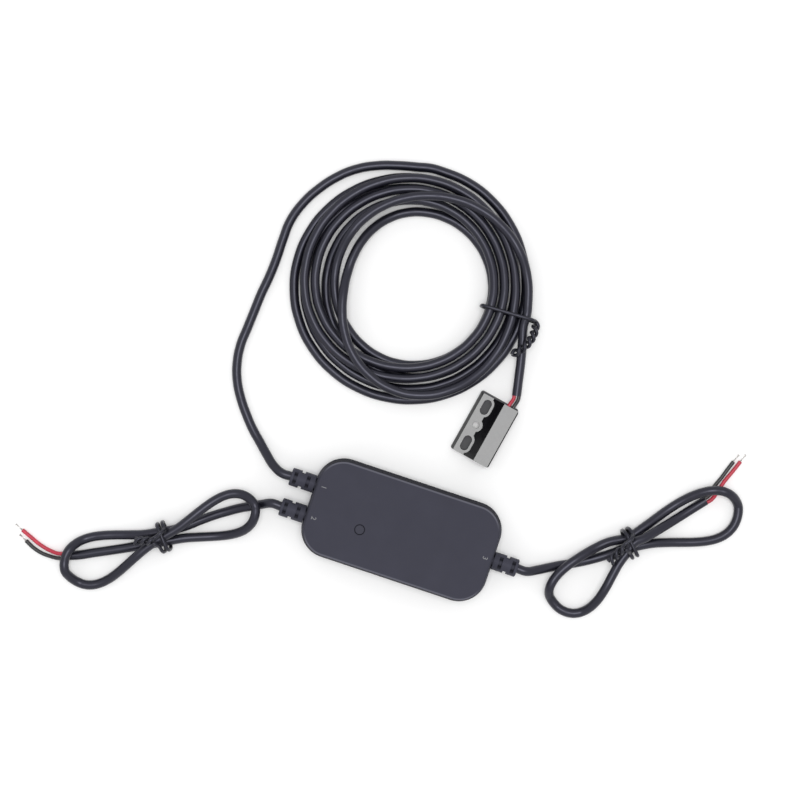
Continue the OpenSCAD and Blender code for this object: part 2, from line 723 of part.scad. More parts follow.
module wire_headers() {
    mid_z = header_size.z / 2;
    color([0.90, 0.88, 0.80]) for (place = relief_places) at_header(place) {
        difference() {
            translate([-header_size.x, -header_size.y / 2, 0]) cube(header_size);
            translate([-plug_depth, -plug_size.y / 2 - plug_fit, mid_z - plug_size.z / 2 - plug_fit])
                cube([plug_depth + cut_over, plug_size.y + 2 * plug_fit, plug_size.z + 2 * plug_fit]);
        }
        for (y = [-1, 1]) translate([-plug_depth - 0.5, y * lead_pitch / 2, mid_z])
            rotate([0, 90, 0]) cylinder(h = pin_l + 0.5, d = pin_d);
    }
}

module wire_plugs() {
    mid_z = header_size.z / 2;
    color([0.94, 0.94, 0.92]) for (place = relief_places) at_header(place) difference() {
        translate([plug_fit - plug_depth, -plug_size.y / 2, mid_z - plug_size.z / 2]) cube(plug_size);
        for (y = [-1, 1]) translate([-plug_depth - cut_over, y * lead_pitch / 2, mid_z])
            rotate([0, 90, 0]) cylinder(h = pin_l + 2 * cut_over, d = pin_hole_d);
    }
}

// Insulated leads from each strain relief to its plug
module inner_leads(hand) {
    plug_x = board_l / 2 - header_inset + plug_fit - plug_depth + plug_size.x;
    for (place = relief_places) {
        y = place[1] + place[0] * hand * lead_pitch / 2;
        from = [place[0] * inner_face_x, y, lower_h];
        to = [place[0] * plug_x, y, board_top + header_size.z / 2];
        run = [place[0], 0, 0] * (inner_face_x - plug_x) / 4;
        tube([from, from - run, to + run, to], wire_d, 8, from + run, to - run);
    }
}

module inner_leads_red() {
    color(red_pvc) inner_leads(1);
}

module inner_leads_black() {
    color(black_pvc) inner_leads(-1);
}

// Push button and its switch
module switch_base() {
    room = plunger_sunk + button_travel + plunger_room;
    color([0.12, 0.12, 0.13]) on_board([button_x, button_y]) difference() {
        standing_block([switch_side, switch_side, switch_h]);
        translate([0, 0, switch_h - room]) cylinder(h = room + cut_over, d = plunger_d + 2 * plunger_fit);
    }
}

module switch_plunger() {
    color([0.85, 0.83, 0.78]) translate([button_x, button_y, switch_top - plunger_sunk])
        cylinder(h = plunger_sunk + plunger_out, d = plunger_d);
}

module reset_button() {
    top = case_h - button_sink;
    flange_top = roof_z - collar_l - flange_rest;
    color(charcoal) translate([button_x, button_y, 0]) rotate_extrude() {
        translate([0, plunger_top]) square([button_d / 2, top - button_edge - plunger_top]);
        translate([0, top - 2 * button_edge]) square([button_d / 2 - button_edge, 2 * button_edge]);
        translate([button_d / 2 - button_edge, top - button_edge]) circle(r = button_edge);
        translate([0, flange_top - button_flange_t]) square([button_flange_d / 2, button_flange_t]);
    }
}

// Moulded strain relief along +X from the outer face of the wall
module strain_relief() {
    rotate([0, 90, 0]) {
        translate([0, 0, -flange_back - relief_flange_t]) {
            cylinder(h = relief_flange_t, d = relief_d);
            cylinder(h = flange_back + relief_flange_t + relief_collar_l, d = relief_neck_d);
        }
        cylinder(h = relief_l, d = relief_core_d);
        difference() {
            translate([0, 0, relief_fit]) rotate_extrude() {
                square([relief_d / 2, relief_l - relief_fit - relief_edge]);
                square([relief_d / 2 - relief_edge, relief_l - relief_fit]);
                translate([relief_d / 2 - relief_edge, relief_l - relief_fit - relief_edge])
                    circle(r = relief_edge);
            }
            for (i = [0 : 2]) translate([0, 0, relief_steps[2 * i + 1]]) rotate(i == 1 ? 90 : 0)
                for (side = [-1, 1]) translate([side * relief_d / 2, 0, relief_gap_l / 2])
                    cube([relief_d - relief_core_d + 1, relief_d - relief_rib_w, relief_gap_l],
                        center = true);
        }
    }
}

module placed_relief(i) {
    place = relief_places[i];
    color(black_pvc) translate([place[0] * end_x, place[1], lower_h])
        rotate([0, 0, place[0] > 0 ? 0 : 180]) strain_relief();
}

module sensor_relief() {
    placed_relief(0);
}

module trigger_relief() {
    placed_relief(1);
}

module power_relief() {
    placed_relief(2);
}

// Cords. Where two stretches meet they share the ring, so their faces lie on each other
module lead_tube(route, wound) {
    color(black_pvc) tube(route, cord_d, 8, 2 * route[0] - route[1], wound[1]);
}

module wound_tube(route, lead, tail) {
    color(black_pvc) tube(route, cord_d, ring_sides, last(lead, 1), tail[1]);
}

module tail_tube(route, wound) {
    color(black_pvc) tube(route, cord_d, 8, last(wound, 1), last(route) + end_dir(route));
}

module wire_tube(route, d = wire_d) {
    tube(route, d, 8, route[0] - (route[1] - route[0]), last(route) + end_dir(route));
}

module tie_tube(route) {
    color(black_pvc)
        tube(route, tie_d, ring_sides, 2 * route[0] - route[1], 2 * last(route) - last(route, 1));
}

module rod(from, dir, l, d) {
    translate(from) rotate([0, acos(dir.z), atan2(dir.y, dir.x)]) cylinder(h = l, d = d);
}

module sensor_cord_lead() {
    lead_tube(sensor_lead, coil_route);
}

module sensor_cord_coil() {
    wound_tube(coil_route, sensor_lead, sensor_tail);
}

module sensor_cord_tail() {
    tail_tube(sensor_tail, coil_route);
}

module coil_tie() {
    tie_tube(coil_tie_route);
}

module trigger_cord_lead() {
    lead_tube(trigger_lead, trigger_bow);
}

module trigger_cord_bow() {
    wound_tube(trigger_bow, trigger_lead, trigger_tail);
}

module trigger_cord_tail() {
    tail_tube(trigger_tail, trigger_bow);
}

module trigger_tie() {
    tie_tube(trigger_tie_route);
}

module power_cord_lead() {
    lead_tube(power_lead, power_bow);
}

module power_cord_bow() {
    wound_tube(power_bow, power_lead, power_tail);
}

module power_cord_tail() {
    tail_tube(power_tail, power_bow);
}

module power_tie() {
    tie_tube(power_tie_route);
}

trigger_red = wire_route(trigger_tail, -1, trigger_red_points);
trigger_black = wire_route(trigger_tail, 1, trigger_black_points);
power_red = wire_route(power_tail, -1, power_red_points);
power_black = wire_route(power_tail, 1, power_black_points);

module trigger_wire_red() {
    color(red_pvc) wire_tube(trigger_red);
}

module trigger_wire_black() {
    color(black_pvc) wire_tube(trigger_black);
}

module trigger_wire_tips() {
    color(tinned) for (route = [trigger_red, trigger_black]) rod(last(route), end_dir(route), tip_l, tip_d);
}

module power_wire_red() {
    color(red_pvc) wire_tube(power_red);
}

module power_wire_black() {
    color(black_pvc) wire_tube(power_black);
}

module power_wire_tips() {
    color(tinned) for (route = [power_red, power_black]) rod(last(route), end_dir(route), tip_l, tip_d);
}

// The two wires of the sensor run through its end wall to the reed switch
function sensor_wire_route(hand, hole, inside_x) = concat(
    [wire_start(sensor_tail, hand), wire_start(sensor_tail, hand) + 1.2 * end_dir(sensor_tail)],
    [for (x = [sensor_l / 2 + 1, sensor_l / 2 - 1.6]) at_sensor(x, wire_hole_y[hole], wire_hole_z)],
    [at_sensor(inside_x, wire_hole_y[hole], wire_hole_z)]);

module sensor_wire_red() {
    color(red_pvc) wire_tube(sensor_wire_route(-1, 0, pocket_l / 2 - 1.5));
}

module sensor_wire_black() {
    color(black_pvc) wire_tube(sensor_wire_route(1, 1, -pocket_l / 2 + 1.5));
}

// Door sensor
module placed_sensor(z = 0) {
    translate([sensor_place.x, sensor_place.y, pad_t + z]) rotate(sensor_turn) children();
}

module slot_plan(l, w) {
    square([l - w, w], center = true);
    for (x = [-1, 1]) translate([x * (l - w) / 2, 0]) circle(d = w);
}

module sensor_plan(l) {
    round_plate(l, sensor_w, sensor_corner_r);
}

module sensor_housing() {
    half = sensor_w / 2;
    color(black_gloss) placed_sensor() difference() {
        intersection() {
            linear_extrude(sensor_h) sensor_plan(sensor_l);
            translate([-sensor_l / 2, 0, 0]) rotate([90, 0, 90]) linear_extrude(sensor_l) polygon([
                [half, 0], [half, flange_edge_h], [half - flange_lean, flange_t], [block_foot, flange_t],
                [block_top_w - half, sensor_h], [sensor_edge - half, sensor_h],
                [-half, sensor_h - sensor_edge], [-half, 0]]);
        }
        translate([0, hole_y, -cut_over]) cylinder(h = sensor_h, d = sensor_hole_d);
        translate([0, hole_y, flange_t]) cylinder(h = sensor_h, r = head_clear_r);
        for (x = [-1, 1]) translate([x * slot_pitch / 2, hole_y, 0]) {
            translate([0, 0, -cut_over]) linear_extrude(sensor_h) slot_plan(slot_l, slot_w);
            translate([0, 0, flange_t]) linear_extrude(sensor_h)
                slot_plan(slot_l - slot_w + 2 * head_clear_r, 2 * head_clear_r);
        }
        translate([-pocket_l / 2, pocket_y - pocket_w / 2, -cut_over])
            cube([pocket_l, pocket_w, pocket_h + cut_over]);
        for (y = wire_hole_y) translate([0, y, wire_hole_z]) rotate([0, 90, 0])
            cylinder(h = sensor_l, d = wire_hole_d);
    }
}

module sensor_filler() {
    color([0.20, 0.20, 0.20]) placed_sensor() difference() {
        translate([0, pocket_y, 0]) {
            standing_block([pocket_l - 2 * filler_fit, pocket_w - 2 * filler_fit, filler_t]);
            for (x = [-1, 1]) translate([x * cradle_x, 0, 0])
                standing_block([cradle_l, pocket_w - 2 * filler_fit, reed_z]);
        }
        translate([-pocket_l / 2, pocket_y, reed_z]) rotate([0, 90, 0])
            cylinder(h = pocket_l, d = reed_d + 2 * filler_fit);
    }
}

module sensor_pad() {
    color([0.72, 0.71, 0.74]) translate([0, 0, -pad_t]) placed_sensor() translate([pad_show / 2, 0, 0])
        linear_extrude(pad_t) difference() {
            sensor_plan(sensor_l + pad_show);
            translate([-pad_show / 2, hole_y]) circle(d = sensor_hole_d);
        }
}

module reed_glass() {
    color([0.70, 0.85, 0.80, 0.6]) placed_sensor(reed_z)
        translate([-reed_l / 2, pocket_y, 0]) rotate([0, 90, 0])
        difference() {
            cylinder(h = reed_l, d = reed_d);
            translate([0, 0, reed_wall]) cylinder(h = reed_l - 2 * reed_wall, d = reed_bore_d);
            for (end = [-cut_over, reed_l - 2 * reed_wall])
                translate([0, 0, end]) cylinder(h = 2 * reed_wall + cut_over, d = reed_lead_d + 0.1);
        }
}
reed_wall = 1;

module reed_blades() {
    half = reed_l / 2;
    color(tinned) placed_sensor(reed_z)
        translate([0, pocket_y, 0]) for (side = [-1, 1]) mirror([side > 0 ? 0 : 1, 0, 0]) {
        translate([half - reed_wall - 0.4, 0, 0]) rotate([0, 90, 0])
            cylinder(h = reed_wall + 0.4 + reed_lead_l, d = reed_lead_d);
        translate([-blade_lap / 2, -blade_w / 2, side * (blade_t + blade_gap) / 2 - blade_t / 2])
            cube([half - reed_wall + blade_lap / 2, blade_w, blade_t]);
    }
}

lower_shell();
upper_shell();
case_screws();
circuit_board();
radio_board();
radio_shield();
relay();
power_inductor();
capacitors();
regulator_chip();
wire_headers();
wire_plugs();
inner_leads_red();
inner_leads_black();
switch_base();
switch_plunger();
reset_button();
sensor_relief();
trigger_relief();
power_relief();
sensor_cord_lead();
sensor_cord_coil();
sensor_cord_tail();
coil_tie();
sensor_wire_red();
sensor_wire_black();
trigger_cord_lead();
trigger_cord_bow();
trigger_cord_tail();
trigger_tie();
trigger_wire_red();
trigger_wire_black();
trigger_wire_tips();
power_cord_lead();
power_cord_bow();
power_cord_tail();
power_tie();
power_wire_red();
power_wire_black();
power_wire_tips();
sensor_housing();
sensor_filler();
sensor_pad();
reed_glass();
reed_blades();
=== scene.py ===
# %% [markdown]
# # A garage door controller
#
# The object is a small charcoal box that opens a garage door. Three cords leave it: a long one,
# wound in a coil, runs to a door sensor, and two short ones are tied in bows and end in bare
# wires. The hard shapes come from the CAD model. This lesson adds what the CAD model leaves plain:
# round cords, wire ties, stripped wires, softened edges, finishes, light and a camera.

import json
import math

import bpy
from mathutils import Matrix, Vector

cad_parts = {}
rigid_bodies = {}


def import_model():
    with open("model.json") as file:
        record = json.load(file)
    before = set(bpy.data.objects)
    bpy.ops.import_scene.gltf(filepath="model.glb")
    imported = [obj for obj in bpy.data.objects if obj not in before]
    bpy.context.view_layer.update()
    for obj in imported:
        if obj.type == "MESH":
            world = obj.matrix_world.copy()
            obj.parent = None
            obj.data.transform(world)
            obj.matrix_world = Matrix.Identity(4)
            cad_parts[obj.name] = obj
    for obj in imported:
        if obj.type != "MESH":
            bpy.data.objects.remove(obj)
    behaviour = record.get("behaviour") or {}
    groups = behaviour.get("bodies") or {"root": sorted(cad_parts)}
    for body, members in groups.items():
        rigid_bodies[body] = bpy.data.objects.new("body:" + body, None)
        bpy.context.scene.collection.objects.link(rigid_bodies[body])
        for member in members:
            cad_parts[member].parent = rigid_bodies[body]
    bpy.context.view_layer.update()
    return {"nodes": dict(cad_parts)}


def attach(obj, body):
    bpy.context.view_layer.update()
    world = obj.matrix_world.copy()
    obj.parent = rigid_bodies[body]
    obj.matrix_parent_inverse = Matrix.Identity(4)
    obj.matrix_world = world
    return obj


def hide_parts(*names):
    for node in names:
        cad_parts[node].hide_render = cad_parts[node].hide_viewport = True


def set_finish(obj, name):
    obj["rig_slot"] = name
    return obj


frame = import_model()
nodes = frame["nodes"]
MM = 0.001
UP = Vector((0, 0, 1))
print("CAD nodes loaded:", len(nodes))

# %% [markdown]
# The photograph looks straight down, so every plan size in it has one scale. The camera hangs over
# the middle of the picture and is turned until the box lies across the frame as it does there. A
# camera without perspective would do too, but a long lens far away keeps the sides of the box as
# narrow as the photograph shows them, and it still looks natural from other sides.

# %% Camera
VIEW_POINT = (-18.7, 54.0)
VIEW_TURN = 18.45
VIEW_HEIGHT = 840
LENS = 85
bpy.ops.object.select_all(action="DESELECT")
bpy.ops.object.camera_add(
    location=(VIEW_POINT[0] * MM, VIEW_POINT[1] * MM, VIEW_HEIGHT * MM),
    rotation=(0, 0, math.radians(VIEW_TURN)),
)
camera = bpy.context.active_object
camera.data.lens = LENS
camera.data.dof.use_dof = False
bpy.context.scene.camera = camera
print("camera hangs", VIEW_HEIGHT, "mm up")

# %% [markdown]
# A cord keeps its length however it lies, so its route is settled before its looks. A route could
# be drawn by eye. These repeat the CAD model's points and formulas, in millimetres, so that both
# models lie in the same place. Cords rest on the table at half their thickness, and where one
# crosses another it climbs in a low hump.

# %% Heights and small helpers for the routes
CORD_D = 4.1
TIE_D = 1.6
FLOOR_GAP = 0.05
SOFT_GAP = 0.5
TIE_ROOM = 0.45
FLOOR_Z = CORD_D / 2 + FLOOR_GAP
LAYER_STEP = CORD_D + SOFT_GAP
LAYER_Z = FLOOR_Z + LAYER_STEP
TIE_LIFT = TIE_D + TIE_ROOM
WAIST_LOW = FLOOR_Z + TIE_LIFT
WAIST_HIGH = WAIST_LOW + LAYER_STEP
RINGS = 24


def cosd(angle):
    return math.cos(math.radians(angle))


def sind(angle):
    return math.sin(math.radians(angle))


def smooth(t):
    return t * t * (3 - 2 * t)


def eased(knots, s):
    """Height at s on a line of knots that starts and stops softly at each knot."""
    for (s0, z0), (s1, z1) in zip(knots, knots[1:]):
        if s <= s1:
            return z0 + (z1 - z0) * smooth((s - s0) / (s1 - s0))
    return knots[-1][1]


def with_straight_ends(route, curl=0.0):
    """Adds a straight run of one cord diameter to both ends. The curl carries the bend on."""
    def run_on(a, b, c):
        return a + CORD_D * ((1 + curl) * (a - b) - curl * (b - c)).normalized()

    return [run_on(*route[:3])] + route + [run_on(*route[:-4:-1])]


print("cords lie at", round(FLOOR_Z, 2), "and", round(LAYER_Z, 2), "mm")

# %% [markdown]
# The long cord is wound as a person winds one by hand: inwards on the table, outwards over the
# turns to the rim, across them to the inside, and out to the rim again. A plain spiral would be
# shorter to write, but it looks machine-made. So one list says how far in the cord has moved at
# each quarter turn, and another in which layer it lies. A tie grips the turns on the right.

# %% Route of the coil
COIL_CENTRE = (-29.2, 103.8)
COIL_R = 52.8
COIL_LANE = 4.7
COIL_TURNS = 7
COIL_START = 95
COIL_END = 8
COIL_SWEEP = COIL_TURNS + (COIL_START - COIL_END) / 360
COIL_FIRST = 108.45
COIL_LANES = [
    0, 0.6, 0.49, 0,
    1.02, 1.62, 1.51, 1,
    2.04, 2.67, 2.57, 3.02,
    3.22, 3.66, 3.5, 2.05,
    2.2, 2.66, 2.5, 1.05,
    1.15, 1.62, 0.94, 4.82,
    4.25, 3.76, 3.75, 3.86,
    3.02, 0.47, 0.17, 0.17,
]
COIL_LAYERS = [
    (0, 0), (11, 0), (11.6, 1), (21.4, 1), (21.9, 2), (22.85, 2), (23.2, 1), (23.3, 1),
    (23.9, 0), (26.4, 0), (27, 1), (27.1, 1), (27.55, 2), (28.75, 2), (29.05, 1), (30, 1),
]
COIL_CURL = 0.5
TIE_ANGLE = 2
LIFT_SHARPNESS = 12


def through(values, place):
    """A smooth value between the values of a list."""
    k = math.floor(place)
    s = place - k
    a, b, c, d = values[max(k - 1, 0)], values[k], values[k + 1], values[k + 2]
    return b + s / 2 * (c - a + s * (2 * a - 5 * b + 4 * c - d + s * (3 * (b - c) + d - a)))


def coil_point(t):
    """The cord after t turns, lifted where it runs over the tie."""
    angle = COIL_START - 360 * t
    near_tie = cosd(angle - TIE_ANGLE)
    quarters = (COIL_FIRST - angle) / 90
    r = COIL_R - COIL_LANE * through(COIL_LANES, quarters)
    lift = TIE_LIFT * ((1 + near_tie) / 2) ** LIFT_SHARPNESS
    return Vector((
        COIL_CENTRE[0] + r * cosd(angle),
        COIL_CENTRE[1] + r * sind(angle),
        FLOOR_Z + eased(COIL_LAYERS, quarters) * LAYER_STEP + lift,
    ))


coil_steps = round(COIL_SWEEP * RINGS)
coil = with_straight_ends(
    [coil_point(i * COIL_SWEEP / coil_steps) for i in range(coil_steps + 1)], COIL_CURL
)
print("coil points:", len(coil))

# %% [markdown]
# Each short cord is folded in a bow: two loops that meet at a waist, where a tie holds them. Loops
# could be drawn point by point, but a formula keeps them smooth. A loop goes out along its heading
# and swings to one side and back, a little blunter than a sine.

# %% Routes of the two bows
BLUNT = 0.85
SPREAD = 2.35
TRIGGER_WAIST = Vector((-98.6, -36.3))
TRIGGER_AXIS = 39
POWER_WAIST = Vector((97.6, 26.3))
POWER_AXIS = 43
POWER_TOP = Vector((97.9, 23.4))


def signed_power(value, power):
    return math.copysign(abs(value) ** power, value)


def turned_point(place, turn, along, across, z):
    """A point at height z, measured along and across a line that is turned about a place."""
    return Vector((
        place.x + along * cosd(turn) - across * sind(turn),
        place.y + along * sind(turn) + across * cosd(turn),
        z,
    ))


def beside(waist, axis, offset):
    return waist + offset * Vector((-sind(axis), cosd(axis)))


def bow_loop(start, end, heading, reach, breadth, side, pinch, heights):
    """One loop from start to end. A pinch above 1 draws that half of it in at both ends."""
    route = []
    for i in range(RINGS + 1):
        s = i / RINGS
        along = reach * abs(sind(180 * s)) ** BLUNT
        power = pinch[0] if s < 0.5 else pinch[1]
        across = side * breadth / 2 * signed_power(sind(360 * s), power)
        base = start + (end - start) * s
        route.append(turned_point(base, heading, along, across, eased(heights, s)))
    return route


trigger_bow = with_straight_ends(
    bow_loop(
        beside(TRIGGER_WAIST, TRIGGER_AXIS, SPREAD), TRIGGER_WAIST,
        heading=219.5, reach=46, breadth=19.5, side=-1, pinch=(1.25, 1.25),
        heights=[(0, WAIST_LOW), (0.12, FLOOR_Z), (0.22, FLOOR_Z), (0.36, LAYER_Z + 0.2),
                 (0.46, LAYER_Z + 0.2), (0.64, FLOOR_Z), (0.76, FLOOR_Z), (0.94, WAIST_HIGH),
                 (1, WAIST_HIGH)],
    )
    + bow_loop(
        TRIGGER_WAIST, beside(TRIGGER_WAIST, TRIGGER_AXIS, -SPREAD),
        heading=39, reach=43, breadth=16.3, side=1, pinch=(1.25, 1.25),
        heights=[(0, WAIST_HIGH), (0.08, WAIST_HIGH), (0.2, LAYER_Z + 1), (0.3, LAYER_Z + 1),
                 (0.5, LAYER_Z + 3.8), (0.58, LAYER_Z + 3.5), (0.86, FLOOR_Z), (1, WAIST_LOW)],
    )[1:]
)
power_bow = with_straight_ends(
    bow_loop(
        beside(POWER_WAIST, POWER_AXIS, -SPREAD), beside(POWER_WAIST, POWER_AXIS, SPREAD),
        heading=37, reach=51, breadth=19.4, side=-1, pinch=(1.4, 1.05),
        heights=[(0, WAIST_LOW), (0.12, FLOOR_Z), (0.48, FLOOR_Z), (0.64, LAYER_Z),
                 (0.7, LAYER_Z), (0.88, FLOOR_Z), (1, WAIST_LOW)],
    )
    + bow_loop(
        beside(POWER_WAIST, POWER_AXIS, SPREAD), POWER_TOP,
        heading=239.5, reach=42, breadth=18.8, side=-1, pinch=(0.6, 1.25),
        heights=[(0, WAIST_LOW), (0.06, WAIST_LOW + 0.2), (0.17, LAYER_Z + 0.3),
                 (0.34, LAYER_Z + 0.3), (0.5, FLOOR_Z), (0.69, FLOOR_Z), (0.89, WAIST_HIGH),
                 (1, WAIST_HIGH)],
    )[1:]
)
print("bow points:", len(trigger_bow), len(power_bow))

# %% [markdown]
# The free stretches have no rule, so they follow points read from the photograph. A cord leaves its
# strain relief straight for one diameter, sinks to the table, and only then starts to wander.

# %% Free stretches of the three cords
SENSOR_EXIT = Vector((-53.6, 7, 8.5))
TRIGGER_EXIT = Vector((-53.6, -7, 8.5))
POWER_EXIT = Vector((53.6, 0, 8.5))
STRAIGHT = Vector((4.2, 0, 0))


def points(*rows):
    return [Vector(row) for row in rows]


sensor_lead = [SENSOR_EXIT, SENSOR_EXIT - STRAIGHT] + points(
    (-62.5, 9, 7), (-67, 12.5, 4.8), (-71.5, 16.5, 3), (-76.5, 21, 2.2), (-81, 26, 2.1),
    (-86, 32.5, 2.1), (-90, 39.5, 2.1), (-92.5, 47, 2.1), (-93.5, 55, 2.1), (-93, 63, 2.1),
    (-92.5, 71, 2.1), (-92, 79, 2.1), (-91, 87.5, 2.1), (-90.5, 96, 2.1), (-90.5, 105, 2.1),
    (-90, 114, 2.1), (-87, 123.5, 2.1), (-82.5, 131.5, 2.1), (-76.5, 139, 2.1),
    (-69.5, 145, 2.1), (-61, 149.5, 2.1), (-52, 152.5, 2.1), (-44, 154.5, 2.1),
)
sensor_tail = points(
    (22.5, 102.5, 8), (24.5, 95, 7.2), (26.5, 87, 6.6), (28, 79.5, 6.4), (29.5, 72, 6.2)
)
trigger_lead = [TRIGGER_EXIT, TRIGGER_EXIT - STRAIGHT] + points(
    (-62, -9, 6.3), (-66.5, -11.5, 4.5), (-71, -14, 3), (-76, -17.3, 2.2),
    (-81, -20.8, 2.1), (-86, -24.8, 2.1), (-91, -29, 2.6),
)
trigger_tail = points(
    (-105, -42.3, 2.6), (-112, -46.1, 2.1), (-119, -49.7, 2.1), (-126, -53.2, 2.1),
    (-132, -56.3, 2.1), (-138, -58.6, 2.1),
)
power_lead = [POWER_EXIT, POWER_EXIT + STRAIGHT] + points(
    (62.5, 2, 6.2), (67, 4.4, 4.4), (71.5, 6.8, 2.9), (76.5, 9.3, 2.2),
    (82, 12.4, 2.1), (87.5, 16, 2.2), (92.5, 19.8, 3.2),
)
power_tail = points(
    (102.6, 30.2, 8.2), (106.4, 34.3, 6.6), (110.6, 38.8, 4.3), (114.7, 43.4, 2.7),
    (119.2, 48.8, 2.1), (124, 54.6, 2.1),
)
print("free stretches read from the photograph: 6")

# %% [markdown]
# A jacket could be a mesh, swept ring by ring. A curve is easier to change: automatic handles give
# the smooth bends that a springy jacket takes by itself, a round bevel makes the jacket, and flat
# caps close it where it was cut. Each cord is one curve from the box to its far end.

# %% The three cords
BEND_STEPS = 6
ROUND_STEPS = 6


def tube(name, route, diameter):
    """One round tube along a route in millimetres."""
    bpy.ops.object.select_all(action="DESELECT")
    bpy.ops.curve.primitive_bezier_curve_add(location=(0, 0, 0))
    piece = bpy.context.active_object
    piece.name = name
    line = piece.data
    line.splines.clear()
    spline = line.splines.new("BEZIER")
    spline.bezier_points.add(len(route) - 1)
    for knot, point in zip(spline.bezier_points, route):
        knot.co = point * MM
        knot.radius = diameter / 2 * MM
    bpy.ops.object.mode_set(mode="EDIT")
    bpy.ops.curve.select_all(action="SELECT")
    bpy.ops.curve.handle_type_set(type="AUTOMATIC")
    bpy.ops.object.mode_set(mode="OBJECT")
    line.dimensions = "3D"
    line.resolution_u = BEND_STEPS
    # A bevel of 1, which the radius of each knot scales to the tube's own
    line.bevel_depth = 1.0
    line.bevel_resolution = ROUND_STEPS
    line.use_fill_caps = True
    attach(piece, "case")
    return piece


def cord(name, route, stretches):
    """A jacketed cord, which stands for its CAD stretches."""
    piece = tube(name + "_cord", route, CORD_D)
    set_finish(piece, "cord_pvc")
    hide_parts(*[f"{name}_cord_{stretch}" for stretch in stretches])
    return piece


def run(route):
    """Length of a route, in metres."""
    return sum((b - a).length for a, b in zip(route, route[1:])) * MM


sensor_route = sensor_lead + coil + sensor_tail
trigger_route = trigger_lead + trigger_bow + trigger_tail
power_route = power_lead + power_bow + power_tail
sensor_cord = cord("sensor", sensor_route, ["lead", "coil", "tail"])
trigger_cord = cord("trigger", trigger_route, ["lead", "bow", "tail"])
power_cord = cord("power", power_route, ["lead", "bow", "tail"])
for route in (sensor_route, trigger_route, power_route):
    print("cord of", round(run(route), 3), "m")

# %% [markdown]
# The ties are short wires in a black coat. Each starts in a twist, goes round the bundle, and comes
# back into the same twist, half a turn behind its other end, so the two ends lock each other. Two
# separate tubes would do for the eye, but one wire is what the real tie is.

# %% Twists and rings of a tie
TIE_CLEAR = 0.35
TIE_PITCH = 2.3
TIE_GAP_ANGLE = 24
TWIST_GAP = 0.35
TWIST_R = TIE_D / 2 + TWIST_GAP
TWIST_STEPS = 8
TWIST_PROBE = 0.01


def bezier(axis, t):
    a, b, c = axis
    return a * (1 - t) ** 2 + b * 2 * t * (1 - t) + c * t * t


def twist(axis, turns, phase):
    """One end of a tie, which winds round an axis of three points."""
    route = []
    count = int(turns * TWIST_STEPS)
    for i in range(count + 1):
        t = i / count
        heading = (bezier(axis, t + TWIST_PROBE) - bezier(axis, t - TWIST_PROBE)).normalized()
        side = heading.cross(UP).normalized()
        angle = phase + 360 * i / TWIST_STEPS
        route.append(
            bezier(axis, t) + TWIST_R * (cosd(angle) * side + sind(angle) * side.cross(heading))
        )
    return route


def tie_rings(place, turn, half_width, squareness, wraps, start):
    """The turns of a tie round a bundle, as flattened rings."""
    low = TIE_D / 2 + FLOOR_GAP
    high = WAIST_HIGH + CORD_D / 2 + TIE_CLEAR + TIE_D / 2
    wide = half_width + TIE_CLEAR + TIE_D / 2
    steps = wraps * RINGS
    route = []
    for i in range(steps + 1):
        angle = start + TIE_GAP_ANGLE + (360 * wraps - 2 * TIE_GAP_ANGLE) * i / steps
        along = wraps * TIE_PITCH * (i / steps - 0.5) if wraps > 1 else 0
        across = wide * signed_power(cosd(angle), 2 / squareness)
        rise = signed_power(sind(angle), 2 / squareness)
        z = (low + high) / 2 + (high - low) / 2 * rise
        route.append(turned_point(place, turn, along, across, z))
    return route


print("a tie's twist is", round(2 * TWIST_R + TIE_D, 2), "mm wide")

# %% [markdown]
# A bow's tie goes round twice, so a bridge point leads it over the waist between twist and rings.
# The coil's tie goes round once and grips all turns. The places of the twists are read from the
# photograph.

# %% The three ties
BOW_GRIP = 0.7
BOW_HALF = SPREAD + CORD_D / 2 + BOW_GRIP
BRIDGE_ALONG = -1
BRIDGE_ACROSS = -2.4
BRIDGE_RISE = 5.7
COIL_HALF = 10.7
COIL_GRIP_R = COIL_R - 2 * COIL_LANE


def tie(name, axis, turns, phase, bridge, rings):
    route = twist(axis, turns, phase)[::-1] + bridge + rings + twist(axis, turns, phase + 180)
    piece = tube(name + "_wire", route, TIE_D)
    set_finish(piece, "tie_wire")
    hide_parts(name)
    return piece


def bow_tie(name, axis, waist, turn):
    over = turned_point(waist, turn, BRIDGE_ALONG, BRIDGE_ACROSS, WAIST_HIGH + BRIDGE_RISE)
    rings = tie_rings(waist, turn, BOW_HALF, squareness=3.6, wraps=2, start=90)
    return tie(name, axis, turns=1.5, phase=0, bridge=[over], rings=rings)


coil_grip = Vector(COIL_CENTRE) + COIL_GRIP_R * Vector((cosd(TIE_ANGLE), sind(TIE_ANGLE)))
coil_tie = tie(
    "coil_tie", points((27.4, 105, 7.4), (29.6, 95.5, 13), (21.5, 88.5, 11.6)),
    turns=3, phase=90, bridge=[],
    rings=tie_rings(coil_grip, TIE_ANGLE - 90, COIL_HALF, squareness=6, wraps=1, start=0),
)
trigger_tie = bow_tie(
    "trigger_tie", points((-101.3, -38.5, 14.7), (-105.5, -40, 14.7), (-109.5, -41.5, 11)),
    TRIGGER_WAIST, TRIGGER_AXIS + 180,
)
power_tie = bow_tie(
    "power_tie", points((95, 23.9, 14.7), (92, 20.5, 14.7), (91.5, 15.5, 11)),
    POWER_WAIST, POWER_AXIS + 180,
)
print("ties: 3")

# %% [markdown]
# Inside each jacket run a red and a black wire. They leave the cut jacket side by side. On the
# short cords they end in tinned strands, and on the long cord they go into the end of the sensor.
# They are tubes like the cords, because they bend in the same way.

